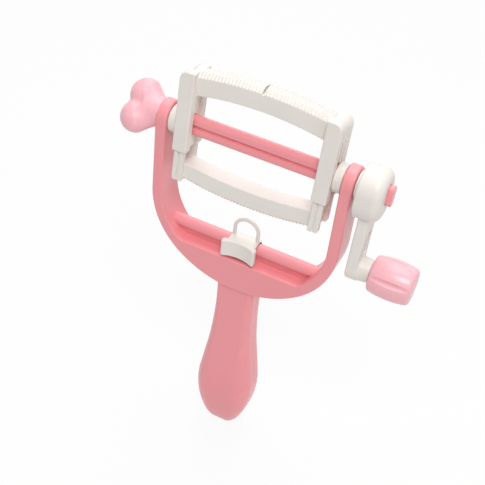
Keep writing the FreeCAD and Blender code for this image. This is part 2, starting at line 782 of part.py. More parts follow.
def make_guide_slider():
    """Slider whose round back hooks over the rail, with a scooped finger plate in front."""
    bottom = -guide_bottom_drop
    top = bottom + guide_height
    inner = rail_radius + guide_rail_gap
    reach = inner + guide_jaw_thickness
    scoop_radius = (guide_half_width ** 2 + guide_scoop_depth ** 2) / (2 * guide_scoop_depth)
    scoop_centre = V(0, -guide_front - scoop_radius + guide_scoop_depth, bottom)
    scoop = Part.makeCylinder(scoop_radius, guide_height, scoop_centre)
    back = Part.makeCylinder(scoop_radius + guide_plate_thickness, guide_height, scoop_centre)
    plate = box(-guide_half_width, guide_half_width, -guide_front, 0, bottom, top).common(back).cut(scoop)
    uprights = edges_where(plate, lambda e: abs(e.BoundBox.ZLength - guide_height) < 1e-6)
    plate = plate.makeFillet(guide_plate_round, uprights)
    block = box(-guide_block_half, guide_block_half, -guide_front + guide_scoop_depth + overrun, 0,
                -rail_drop - guide_jaw_drop, guide_block_top)
    round_back = box(-guide_block_half, guide_block_half, 0, reach,
                     -rail_drop - guide_jaw_drop, guide_block_top)
    round_back = round_back.common(rod(-guide_block_half, guide_block_half, reach, 0, -rail_drop))
    body = fused([plate, block.cut(scoop), round_back])
    body = body.cut(rod(-guide_half_width, guide_half_width, inner, 0, -rail_drop))
    mouth = rail_neck_thickness / 2 + guide_rail_gap
    return body.cut(box(-guide_half_width, guide_half_width, -mouth, mouth, -bow_drop, -rail_drop))


def make_guide_eye():
    """Upright arch on the slider that the strand runs through."""
    ring = Part.makeTorus(eye_ring_radius, eye_wire_radius, V(0, 0, -eye_ring_drop), V(0, 1, 0))
    arch = ring.common(box(-rail_drop, rail_drop, -rail_radius, rail_radius, -eye_ring_drop, 0))
    leg = Part.makeCylinder(eye_wire_radius, -eye_ring_drop - guide_block_top,
                            V(eye_ring_radius, 0, guide_block_top))
    return fused([arch, leg, mirrored_x(leg)])


def main():
    """Build every piece and write it."""
    os.makedirs("parts", exist_ok=True)
    save("yoke", make_yoke())
    save("guide_rail", make_guide_rail())
    front, rear = make_handle_shells()
    save("handle_front_shell", front)
    save("handle_rear_shell", rear)
    save("handle_screws", make_handle_screws())
    save("right_bush", turned(make_bush()))
    save("left_bush", turned(mirrored_x(make_bush())))
    save("shaft", turned(make_shaft()))
    save("heart_knob", turned(make_heart_knob()))
    save("heart_pin", turned(make_heart_pin()))
    save("winding_top", turned(make_winding_top()))
    save("winding_bottom", turned(make_winding_bottom()))
    save("crank_hub", turned(make_crank_hub()))
    save("crank_arm", turned(make_crank_arm()))
    save("hub_screws", turned(make_hub_screws()))
    save("shaft_spring", turned(make_shaft_spring()))
    save("crank_knob", turned(make_knob()))
    save("knob_pin", turned(make_knob_pin()))
    save("knob_cap", turned(make_knob_cap()))
    save("guide_slider", make_guide_slider())
    save("guide_eye", make_guide_eye())


main()
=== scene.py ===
import logging
import math
from dataclasses import dataclass, field
from enum import Enum
from typing import Callable, Sequence

import bmesh
import bpy
from mathutils import Matrix, Vector


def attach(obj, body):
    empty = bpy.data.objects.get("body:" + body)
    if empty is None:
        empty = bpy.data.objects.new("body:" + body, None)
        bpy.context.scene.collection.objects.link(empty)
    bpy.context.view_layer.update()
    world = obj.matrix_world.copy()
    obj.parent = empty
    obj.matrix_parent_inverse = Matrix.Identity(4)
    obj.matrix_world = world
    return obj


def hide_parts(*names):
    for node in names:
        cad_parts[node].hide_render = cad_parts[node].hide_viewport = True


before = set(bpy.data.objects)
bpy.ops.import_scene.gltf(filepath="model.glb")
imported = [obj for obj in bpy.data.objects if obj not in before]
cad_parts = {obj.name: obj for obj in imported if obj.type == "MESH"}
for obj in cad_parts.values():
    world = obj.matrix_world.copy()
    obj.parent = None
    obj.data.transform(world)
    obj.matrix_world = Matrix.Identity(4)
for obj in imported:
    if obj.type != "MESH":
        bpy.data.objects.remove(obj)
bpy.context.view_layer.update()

log = logging.getLogger("pom_pom_winder")

# Pieces are drawn in millimetres about the winding axis and then set into the frame, in metres.
MM = 0.001
AXIS_HEIGHT = 189.0
REST_TURN = -6.0      # turn of the winder about X at rest, in degrees
BORE_LOBE = 2.65      # round ends of the bores that take the shaft
LOBE_OFFSET = 2.7     # height of those ends' centres over the axis
CRANK_RADIUS = 42.0   # from the winding axis to the crank knob
RAIL_DROP = 59.0      # from the winding axis down to the guide rail
SAMPLES = 96          # points of a ring
KNOB_SAMPLES = 240    # points of a ring of the fluted knob
HOLE_RIM = 0.25       # rim of a bore
CUTTER_RIM = 0.01     # rim of a shape that only cuts
MITRE_LIMIT = 0.3     # keeps the mitre of a sharp corner short
TINY = 1e-9

Colour = tuple[float, float, float]
Ring = list[Vector]
Reach = Callable[[float], float]
Flat = list[tuple[float, float]]


class Place(Enum):
    """How a piece that is drawn about the winding axis is set into the frame."""

    STILL = "still"
    TURNED = "turned"

    def matrix(self) -> Matrix:
        """Gives the move from millimetres about the winding axis to the frame.

        Returns:
            The matrix that scales, turns and lifts a piece.
        """
        lift = Matrix.Translation((0.0, 0.0, AXIS_HEIGHT * MM))
        size = Matrix.Scale(MM, 4)
        if self is Place.TURNED:
            return lift @ Matrix.Rotation(math.radians(REST_TURN), 4, "X") @ size
        return lift @ size


class Slot(Enum):
    """The record's material slots."""

    PINK = "pink_plastic"
    WHITE = "white_plastic"
    STEEL = "steel"


class Axis(Enum):
    """The axis that a flat outline is thickened along."""

    X = "X"
    Y = "Y"
    Z = "Z"

    def spot(self, along: float, first: float, second: float) -> Vector:
        """Places a point of a flat outline.

        Args:
            along: Place along the axis.
            first: The outline's first value.
            second: The outline's second value.

        Returns:
            The point.
        """
        if self is Axis.X:
            return Vector((along, first, second))
        if self is Axis.Y:
            return Vector((first, along, second))
        return Vector((first, second, along))


class Work(Enum):
    """How one drafted object is worked into another."""

    ADD = "UNION"
    CUT = "DIFFERENCE"


# Finishes


def blank(name: str) -> tuple[bpy.types.Material, bpy.types.NodeTree, bpy.types.Node]:
    """Starts a node material.

    Args:
        name: Name of the material.

    Returns:
        The material, its node tree and its shader.
    """
    material = bpy.data.materials.new(name)
    material.use_nodes = True
    return material, material.node_tree, material.node_tree.nodes["Principled BSDF"]


def added(tree: bpy.types.NodeTree, kind: str,
          **values: float | tuple[float, ...]) -> bpy.types.Node:
    """Adds a node and sets its inputs.

    Args:
        tree: Node tree that takes it.
        kind: Kind of the node, without its leading "ShaderNode".
        values: Values of its inputs, with _ for each space in a name.

    Returns:
        The node.
    """
    node = tree.nodes.new("ShaderNode" + kind)
    for name, value in values.items():
        node.inputs[name.replace("_", " ")].default_value = value
    return node


def ramp(tree: bpy.types.NodeTree, low: Colour, high: Colour,
         ends: tuple[float, float] = (0.0, 1.0)) -> bpy.types.Node:
    """Adds a ramp between two colours.

    Args:
        tree: Node tree that takes it.
        low: Colour at the lower end.
        high: Colour at the upper end.
        ends: Places of both.

    Returns:
        The node.
    """
    node = added(tree, "ValToRGB")
    for stop, place, colour in zip(node.color_ramp.elements, ends, (low, high)):
        stop.position = place
        stop.color = (*colour, 1.0)
    return node


@dataclass(frozen=True)
class MouldedPlastic:
    """Satin injection-moulded plastic with a faint flow tint and a fine skin.

    Args:
        name: Name of the material.
        colour: Main colour, linear.
        deep: Slightly deeper tint that drifts over the surface.
        roughness: Middle roughness.
        softness: Share of light that enters the plastic.
        gloss_drift: How far the roughness drifts to either side.
        skin_depth: Height of the fine skin, in metres.
        sink_depth: Height of the broad sink marks, in metres.
        relief: Strength of both.
        spread: How far red, green and blue spread inside.
        spread_scale: Scale of that spread, in metres.
        index: Refractive index.
    """

    name: str
    colour: Colour
    deep: Colour
    roughness: float
    softness: float = 0.0
    gloss_drift: float = 0.03
    skin_depth: float = 0.000006
    sink_depth: float = 0.00002
    relief: float = 0.25
    spread: Colour = (1.0, 0.45, 0.4)
    spread_scale: float = 0.0015
    index: float = 1.49

    def build(self) -> bpy.types.Material:
        """Makes the node material.

        Returns:
            The finished material.
        """
        material, tree, shader = blank(self.name)
        place = added(tree, "TexCoord")
        flow = added(tree, "TexNoise", Scale=38.0, Detail=3.0, Roughness=0.55)
        tint = ramp(tree, self.deep, self.colour, (0.32, 0.68))
        haze = added(tree, "TexNoise", Scale=260.0, Detail=4.0)
        gloss = added(tree, "MapRange", To_Min=self.roughness - self.gloss_drift,
                      To_Max=self.roughness + self.gloss_drift)
        skin = added(tree, "TexNoise", Scale=1900.0, Detail=2.0)
        sink = added(tree, "TexNoise", Scale=90.0, Detail=1.0)
        fine = added(tree, "Bump", Strength=self.relief, Distance=self.skin_depth)
        broad = added(tree, "Bump", Strength=self.relief, Distance=self.sink_depth)

        link = tree.links.new
        for texture in (flow, haze, skin, sink):
            link(place.outputs["Object"], texture.inputs["Vector"])
        link(flow.outputs["Fac"], tint.inputs["Fac"])
        link(tint.outputs["Color"], shader.inputs["Base Color"])
        link(haze.outputs["Fac"], gloss.inputs["Value"])
        link(gloss.outputs["Result"], shader.inputs["Roughness"])
        link(sink.outputs["Fac"], broad.inputs["Height"])
        link(skin.outputs["Fac"], fine.inputs["Height"])
        link(broad.outputs["Normal"], fine.inputs["Normal"])
        link(fine.outputs["Normal"], shader.inputs["Normal"])
        shader.inputs["Subsurface Weight"].default_value = self.softness
        shader.inputs["Subsurface Radius"].default_value = self.spread
        shader.inputs["Subsurface Scale"].default_value = self.spread_scale
        shader.inputs["IOR"].default_value = self.index
        return material


@dataclass(frozen=True)
class TurnedSteel:
    """Plain steel of small fasteners with turning marks.

    Args:
        name: Name of the material.
        colour: Reflected colour, linear.
        shade: Share of the colour that is left in the marks.
        smooth: Lowest roughness.
        rough: Highest roughness.
        mark_depth: Depth of the marks, in metres.
    """

    name: str
    colour: Colour = (0.56, 0.56, 0.57)
    shade: float = 0.8
    smooth: float = 0.28
    rough: float = 0.46
    mark_depth: float = 0.00002

    def build(self) -> bpy.types.Material:
        """Makes the node material.

        Returns:
            The finished material.
        """
        material, tree, shader = blank(self.name)
        place = added(tree, "TexCoord")
        marks = added(tree, "TexNoise", Scale=1400.0, Detail=3.0)
        tint = ramp(tree, tuple(self.shade * part for part in self.colour), self.colour)
        gloss = added(tree, "MapRange", To_Min=self.smooth, To_Max=self.rough)
        relief = added(tree, "Bump", Strength=0.3, Distance=self.mark_depth)
        link = tree.links.new
        link(place.outputs["Object"], marks.inputs["Vector"])
        link(marks.outputs["Fac"], tint.inputs["Fac"])
        link(tint.outputs["Color"], shader.inputs["Base Color"])
        link(marks.outputs["Fac"], gloss.inputs["Value"])
        link(gloss.outputs["Result"], shader.inputs["Roughness"])
        link(marks.outputs["Fac"], relief.inputs["Height"])
        link(relief.outputs["Normal"], shader.inputs["Normal"])
        shader.inputs["Metallic"].default_value = 1.0
        return material


@dataclass(frozen=True)
class Finishes:
    """The finished materials that the sub-assemblies share.

    Args:
        pink: Pink moulded plastic.
        pale: The pink plastic painted paler for the two knobs; the paleness paints the stronger
            light and highlight that fall on them.
        white: Cream-white moulded plastic.
        steel: Fastener steel.
    """

    pink: bpy.types.Material
    pale: bpy.types.Material
    white: bpy.types.Material
    steel: bpy.types.Material

    @classmethod
    def build(cls) -> "Finishes":
        """Makes every finish once.

        Returns:
            The set of finished materials.
        """
        pink = MouldedPlastic("pink_moulded_plastic",
                              (0.92, 0.33, 0.36), (0.905, 0.315, 0.345), 0.25)
        # The knobs share the pink plastic; their paler colour is painted light, for the stronger
        # light and highlight on them.
        pale = MouldedPlastic("pink_plastic_painted_paler",
                              (0.94, 0.49, 0.54), (0.93, 0.47, 0.52), 0.27, softness=0.05)
        white = MouldedPlastic("cream_moulded_plastic",
                               (0.83, 0.79, 0.74), (0.80, 0.755, 0.70), 0.38)
        steel = TurnedSteel("fastener_steel")
        return cls(pink.build(), pale.build(), white.build(), steel.build())


# Outlines


def arc(centre: tuple[float, float], radius: float, start: float, end: float, steps: int) -> Flat:
    """Points along a flat arc.

    Args:
        centre: Centre of the arc.
        radius: Radius of the arc.
        start: First angle, in degrees.
        end: Last angle, in degrees.
        steps: Number of steps between them.

    Returns:
        The points, both ends included.
    """
    points = []
    for step in range(steps + 1):
        angle = math.radians(start + (end - start) * step / steps)
        points.append((centre[0] + radius * math.cos(angle), centre[1] + radius * math.sin(angle)))
    return points


def rounded(corners: Flat, radii: Sequence[float], steps: int = 6) -> Flat:
    """Rounds the corners of a flat outline.

    Args:
        corners: Corner points in order.
        radii: Radius of each corner, 0 for a plain one.
        steps: Steps in each corner.

    Returns:
        The rounded outline.
    """
    outline: Flat = []
    count = len(corners)
    for index, corner in enumerate(corners):
        if radii[index] == 0:
            outline.append(corner)
            continue
        here = Vector(corner)
        before = (Vector(corners[index - 1]) - here).normalized()
        after = (Vector(corners[(index + 1) % count]) - here).normalized()
        half = before.angle(after) / 2
        reach = radii[index] / math.tan(half)
        centre = here + (before + after).normalized() * (radii[index] / math.sin(half))
        first = here + before * reach - centre
        sweep = math.pi - 2 * half
        last = here + after * reach - centre
        sign = 1.0 if first.x * last.y > first.y * last.x else -1.0
        for step in range(steps + 1):
            turn = sign * sweep * step / steps
            outline.append((centre.x + first.x * math.cos(turn) - first.y * math.sin(turn),
                            centre.y + first.x * math.sin(turn) + first.y * math.cos(turn)))
    return outline


def inset(outline: Flat, depth: float) -> Flat:
    """Moves a flat outline inwards along its mitred normals.

    Args:
        outline: Closed outline, either way round.
        depth: Distance, positive towards the inside.

    Returns:
        The moved outline.
    """
    if abs(depth) < TINY:
        return list(outline)
    count = len(outline)
    area = sum(outline[i - 1][0] * outline[i][1] - outline[i][0] * outline[i - 1][1]
               for i in range(count))
    way = 1.0 if area > 0 else -1.0
    moved: Flat = []
    for index, point in enumerate(outline):
        before = Vector(point) - Vector(outline[index - 1])
        after = Vector(outline[(index + 1) % count]) - Vector(point)
        first = Vector((-before.y, before.x)).normalized() * way
        second = Vector((-after.y, after.x)).normalized() * way
        share = max(MITRE_LIMIT, 1.0 + first.dot(second))
        shift = (first + second) * (depth / share)
        moved.append((point[0] + shift.x, point[1] + shift.y))
    return moved


def circle(radius: float) -> Reach:
    """Reach of a circle about its centre."""
    return lambda angle: radius


def keyed(radius: float, offset: float) -> Reach:
    """Reach of the shaft's long rounded section about the axis.

    Args:
        radius: Radius of its round ends.
        offset: Height of an end's centre over the axis.

    Returns:
        The reach by angle, measured from +Y towards +Z.
    """
    def reach(angle: float) -> float:
        """Reach at one angle.

        Args:
            angle: Angle from +Y towards +Z, in radians.

        Returns:
            The distance from the axis.
        """
        side, up = abs(math.cos(angle)), abs(math.sin(angle))
        flank = radius / max(side, TINY)
        if flank * up <= offset:
            return flank
        return offset * up + math.sqrt(max(radius ** 2 - (offset * side) ** 2, 0.0))
    return reach


def bore_reach() -> Reach:
    """Reach of the bores that take the shaft."""
    return keyed(BORE_LOBE, LOBE_OFFSET)


def stadium(radius: float, drop: float) -> Reach:
    """Reach, from the axis, of a block that is round about the axis and again below it.

    Args:
        radius: Radius of both ends.
        drop: Distance from the axis down to the lower centre.

    Returns:
        The reach by angle.
    """
    def reach(angle: float) -> float:
        """Reach at one angle.

        Args:
            angle: Angle from +Y towards +Z, in radians.

        Returns:
            The distance from the axis.
        """
        side, up = math.cos(angle), math.sin(angle)
        if up >= 0:
            return radius
        straight = radius / max(abs(side), TINY)
        if straight * abs(up) <= drop:
            return straight
        along = drop * abs(up)
        return along + math.sqrt(max(radius ** 2 - (drop * side) ** 2, 0.0))
    return reach


def block_reach(low: tuple[float, float], high: tuple[float, float]) -> Reach:
    """Reach of a rectangle in Y and Z about the axis.

    Args:
        low: Lowest Y and Z.
        high: Highest Y and Z.

    Returns:
        The reach by angle.
    """
    def reach(angle: float) -> float:
        """Reach at one angle.

        Args:
            angle: Angle from +Y towards +Z, in radians.

        Returns:
            The distance from the axis.
        """
        side, up = math.cos(angle), math.sin(angle)
        across = (high[0] if side > 0 else -low[0]) / max(abs(side), TINY)
        tall = (high[1] if up > 0 else -low[1]) / max(abs(up), TINY)
        return min(across, tall)
    return reach


def radial(x: float, reach: Reach, drop: float = 0.0, depth: float = 0.0,
           count: int = SAMPLES) -> Ring:
    """A ring in a plane across the winding axis.

    Args:
        x: Place of the plane.
        reach: Reach of the ring by angle.
        drop: How far its centre lies below the axis.
        depth: How much the ring is drawn in.
        count: Number of points.

    Returns:
        The ring's points.
    """
    ring = []
    for index in range(count):
        angle = 2 * math.pi * index / count
        far = reach(angle) - depth
        ring.append(Vector((x, far * math.cos(angle), far * math.sin(angle) - drop)))
    return ring


def eased(radius: float, steps: int) -> list[tuple[float, float]]:
    """Steps of a rounded edge.

    Args:
        radius: Radius of the edge, 0 for a plain one.
        steps: Number of steps.

    Returns:
        Pairs of how far along and how far in, from the face to the side.
    """
    if radius <= 0:
        return [(0.0, 0.0)]
    pairs = []
    for step in range(steps + 1):
        angle = math.pi / 2 * step / steps
        pairs.append((radius * (1 - math.sin(angle)), radius * (1 - math.cos(angle))))
    return pairs[::-1]


def levels(low: float, high: float, rim: float, far_rim: float, steps: int = 4,
           far_steps: int = 4) -> list[tuple[float, float]]:
    """Places of a solid between two faces with rounded rims.

    Args:
        low: Place of the first face.
        high: Place of the last face.
        rim: Radius of the first rim.
        far_rim: Radius of the last rim.
        steps: Steps in the first rim.
        far_steps: Steps in the last rim.

    Returns:
        Pairs of a place and how far the outline is drawn in there.
    """
    return ([(low + along, depth) for along, depth in eased(rim, steps)]
            + [(high - along, depth) for along, depth in reversed(eased(far_rim, far_steps))])


def blended(gaps: Sequence[float], sharpness: float) -> float:
    """Smallest of several distances, with a soft change from one to the next.

    Args:
        gaps: The distances.
        sharpness: How sharp the change is, per millimetre.

    Returns:
        The blended distance.
    """
    return -math.log(sum(math.exp(-sharpness * gap) for gap in gaps)) / sharpness


# Moulding


@dataclass
class Moulding:
    """Gathers closed shells in millimetres about the winding axis and makes one piece of them.

    Args:
        name: Name of the piece.
        place: How it is set into the frame.
        shell: The mesh under work.
    """

    name: str
    place: Place = Place.STILL
    shell: bmesh.types.BMesh = field(default_factory=bmesh.new)

    def skin(self, rings: Sequence[Ring], closed: bool = False, mirror: bool = False) -> None:
        """Joins rings of equal count in order.

        Args:
            rings: The rings.
            closed: Whether the last ring joins the first; otherwise both ends get a lid.
            mirror: Whether to add them on the other side of X = 0 instead.
        """
        side = -1.0 if mirror else 1.0
        rows = [[self.shell.verts.new((side * point.x, point.y, point.z)) for point in ring]
                for ring in rings]
        pairs = list(zip(rows, rows[1:]))
        if closed:
            pairs.append((rows[-1], rows[0]))
        count = len(rows[0])
        for low, high in pairs:
            for index in range(count):
                after = (index + 1) % count
                self.shell.faces.new((low[index], low[after], high[after], high[index]))
        if not closed:
            self.shell.faces.new(list(reversed(rows[0])))
            self.shell.faces.new(rows[-1])

    def slab(self, outline: Flat, axis: Axis, low: float, high: float, edge: float,
             mirror: bool = False) -> None:
        """A flat outline thickened along an axis, with rounded rims.

        Args:
            outline: Closed outline in the two other axes, in X, Y, Z order.
            axis: The axis.
            low: Start along the axis.
            high: End along the axis.
            edge: Radius of the rims.
            mirror: Whether to add it on the other side of X = 0 instead.
        """
        rings = [[axis.spot(place, first, second) for first, second in inset(outline, depth)]
                 for place, depth in levels(low, high, edge, edge)]
        self.skin(rings, mirror=mirror)

    def tube(self, outer: Reach, inner: Reach, low: float, high: float, rim: float,
             far_rim: float | None = None, mirror: bool = False) -> None:
        """A sleeve or a holed plate across the winding axis.

        Args:
            outer: Outer reach.
            inner: Reach of the hole.
            low: Start along X.
            high: End along X.
            rim: Radius of the outer rims.
            far_rim: Radius of the rim at the far end, if it differs.
            mirror: Whether to add it on the other side of X = 0 instead.
        """
        far = rim if far_rim is None else far_rim
        rings = [radial(low + HOLE_RIM, inner), radial(low, inner, depth=-HOLE_RIM)]
        rings += [radial(x, outer, depth=depth) for x, depth in levels(low, high, rim, far, 5, 7)]
        rings += [radial(high, inner, depth=-HOLE_RIM), radial(high - HOLE_RIM, inner)]
        self.skin(rings, closed=True, mirror=mirror)

    def rod(self, outer: Reach, low: float, high: float, rim: float, drop: float = 0.0,
            mirror: bool = False) -> None:
        """A solid bar across X with rounded rims.

        Args:
            outer: Reach of its section.
            low: Start along X.
            high: End along X.
            rim: Radius of the rims.
            drop: How far its centre lies below the axis.
            mirror: Whether to add it on the other side of X = 0 instead.
        """
        rings = [radial(x, outer, drop, depth) for x, depth in levels(low, high, rim, rim)]
        self.skin(rings, mirror=mirror)

    def draft(self) -> bpy.types.Object:
        """Makes a bare object of the shells, still in millimetres.

        Returns:
            The object.
        """
        bmesh.ops.recalc_face_normals(self.shell, faces=self.shell.faces[:])
        mesh = bpy.data.meshes.new(self.name)
        self.shell.to_mesh(mesh)
        self.shell.free()
        thing = bpy.data.objects.new(self.name, mesh)
        bpy.context.scene.collection.objects.link(thing)
        return thing

    def piece(self, body: str, nodes: Sequence[str], material: bpy.types.Material,
              crease: float = 38.0) -> bpy.types.Object:
        """Finishes the moulding as a piece of the frame.

        Args:
            body: CAD body that it rides on.
            nodes: CAD nodes that it stands for.
            material: The finish.
            crease: Angle above which an edge stays sharp, in degrees.

        Returns:
            The piece.
        """
        return settle(self.draft(), self.place, body, nodes, material, crease)


def settle(thing: bpy.types.Object, place: Place, body: str, nodes: Sequence[str],
           material: bpy.types.Material, crease: float) -> bpy.types.Object:
    """Sets a drafted object into the frame, shades it and hangs it on its body.

    Args:
        thing: Object in millimetres about the winding axis.
        place: How it is set into the frame.
        body: CAD body that it rides on.
        nodes: CAD nodes that it stands for.
        material: The finish.
        crease: Angle above which an edge stays sharp, in degrees.

    Returns:
        The piece.
    """
    thing.data.transform(place.matrix())
    for face in thing.data.polygons:
        face.use_smooth = True
    thing.data.set_sharp_from_angle(angle=math.radians(crease))
    even = thing.modifiers.new("even_normals", "WEIGHTED_NORMAL")
    even.keep_sharp = True
    applied(thing)
    thing.data.materials.clear()
    thing.data.materials.append(material)
    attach(thing, body)
    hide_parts(*nodes)
    log.info("%s: %d faces, on %s", thing.name, len(thing.data.polygons), body)
    return thing


def applied(thing: bpy.types.Object) -> None:
    """Applies every modifier of an object to its mesh.

    Args:
        thing: The object.
    """
    bpy.context.view_layer.update()
    graph = bpy.context.evaluated_depsgraph_get()
    mesh = bpy.data.meshes.new_from_object(thing.evaluated_get(graph))
    old = thing.data
    thing.modifiers.clear()
    thing.data = mesh
    bpy.data.meshes.remove(old)


def joined(target: bpy.types.Object, other: bpy.types.Object, work: Work) -> None:
    """Adds one drafted object to another or cuts it away, and drops the other.

    Args:
        target: Object that is kept.
        other: Object that is added or cut away.
        work: Which of the two it is.
    """
    step = target.modifiers.new("join", "BOOLEAN")
    step.operation = work.value
    step.solver = "EXACT"
    step.object = other
    applied(target)
    bpy.data.objects.remove(other, do_unlink=True)


def dressed(names: Sequence[str], material: bpy.types.Material) -> None:
    """Gives carried-over CAD nodes their finish.

    Args:
        names: Names of the nodes.
        material: The finish.
    """
    for name in names:
        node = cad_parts[name]
        if not node.material_slots:
            node.data.materials.append(material)
        for holder in node.material_slots:
            holder.material = material
        log.info("%s: carried over with %s", name, material.name)


# Sub-assemblies


@dataclass
class Yoke:
    """Arms with eyes, round bow, crescent base and the guide rail.

    Args:
        half_width: Outer half width.
        thickness: Thickness of the arms and the bow.
        half_depth: Half depth.
        corner_radius: Radius of the bow's corners.
        corner_across: X of their centres.
        corner_drop: Drop of their centres.
        bottom_radius: Radius of the bow's middle.
        bottom_drop: Drop of its centre.
        base_drop: Drop of the base's top.
        base_corner: Radius between the base's top and the arms.
        edge: Radius of the front and rear edges.
        bore: Radius of the eyes' bore.
        proud: How far the eyes stand out of the arms' faces.
        rail_radius: Radius of the guide rail.
        rail_drop: Drop of the guide rail.
        rail_neck: Half thickness of its neck.
        rail_reach: Half length of the rail, ends inside the arms.
        rail_rim: Radius of the rims at its ends.
        neck_sink: How far its neck runs into the base.
        bow_steps: Steps in a part of the bow's outer line.
        inner_steps: Steps in a corner of its inner line.
        foot_steps: Steps between the base's top and an arm.
        cutter_reach: Half length of the shape that cuts the bore.
    """

    half_width: float = 50.0
    thickness: float = 5.7
    half_depth: float = 8.35
    corner_radius: float = 44.0
    corner_across: float = 6.0
    corner_drop: float = 38.0
    bottom_radius: float = 54.0
    bottom_drop: float = 30.0
    base_drop: float = 65.2
    base_corner: float = 5.0
    edge: float = 1.0
    bore: float = 6.35
    proud: float = 0.02
    rail_radius: float = 3.2
    rail_drop: float = RAIL_DROP
    rail_neck: float = 1.5
    rail_reach: float = 40.2
    rail_rim: float = 0.2
    neck_sink: float = 0.4
    bow_steps: int = 40
    inner_steps: int = 30
    foot_steps: int = 8
    cutter_reach: float = 60.0

    def bow(self, steps: int) -> Flat:
        """The bow's outer line, from the +X side down to the middle and up the -X side.

        Args:
            steps: Steps in a part of it.

        Returns:
            The line's points.
        """
        lean = math.degrees(math.atan2(self.bottom_drop - self.corner_drop, self.corner_across))
        right = arc((self.corner_across, -self.corner_drop), self.corner_radius, 0.0, lean, steps)
        low = arc((0.0, -self.bottom_drop), self.bottom_radius, lean, -180.0 - lean, steps)
        left = [(-x, z) for x, z in reversed(right)]
        return right + low[1:-1] + left

    def outline(self) -> Flat:
        """Front outline of arms, bow and base.

        Returns:
            The closed outline.
        """
        outer = self.bow(self.bow_steps)
        inner_radius = self.corner_radius - self.thickness
        corner = self.base_corner
        run, fall = inner_radius - corner, self.base_drop - corner - self.corner_drop
        rise = math.degrees(math.asin(fall / run))
        right = arc((self.corner_across, -self.corner_drop), inner_radius, 0.0, -rise,
                    self.inner_steps)
        across = self.corner_across + math.sqrt(run ** 2 - fall ** 2)
        right += arc((across, corner - self.base_drop), corner, -rise, -90.0, self.foot_steps)[1:]
        left = [(-x, z) for x, z in right]
        inner_half = self.half_width - self.thickness
        return ([(self.half_width, 0.0)] + outer + [(-self.half_width, 0.0), (-inner_half, 0.0)]
                + left + right[::-1] + [(inner_half, 0.0)])

    def build(self, finishes: Finishes) -> None:
        """Builds the yoke and its rail.

        Args:
            finishes: The shared finishes.
        """
        body = Moulding("yoke_moulding")
        body.slab(self.outline(), Axis.Y, -self.half_depth, self.half_depth, self.edge)
        yoke = body.draft()
        inner = self.half_width - self.thickness
        for mirror in (False, True):
            eye = Moulding("eye")
            eye.rod(circle(self.half_depth + self.proud), inner - self.proud,
                    self.half_width + self.proud, self.edge, mirror=mirror)
            joined(yoke, eye.draft(), Work.ADD)
        bore = Moulding("bore")
        bore.rod(circle(self.bore), -self.cutter_reach, self.cutter_reach, CUTTER_RIM)
        joined(yoke, bore.draft(), Work.CUT)
        settle(yoke, Place.STILL, "yoke_body", ["yoke"], finishes.pink, crease=30.0)

        rail = Moulding("guide_rail_moulding")

        def keyhole(angle: float) -> float:
            """Reach of the rail's round with its neck below.

            Args:
                angle: Angle from +Y towards +Z, in radians.

            Returns:
                The distance from the rail's line.
            """
            side, up = math.cos(angle), math.sin(angle)
            if up >= 0:
                return self.rail_radius
            neck = self.rail_neck / max(abs(side), TINY)
            foot = (self.base_drop - self.rail_drop + self.neck_sink) / abs(up)
            return max(self.rail_radius, min(neck, foot))

        rail.rod(keyhole, -self.rail_reach, self.rail_reach, self.rail_rim, self.rail_drop)
        rail.piece("yoke_body", ["guide_rail"], finishes.pink, crease=30.0)


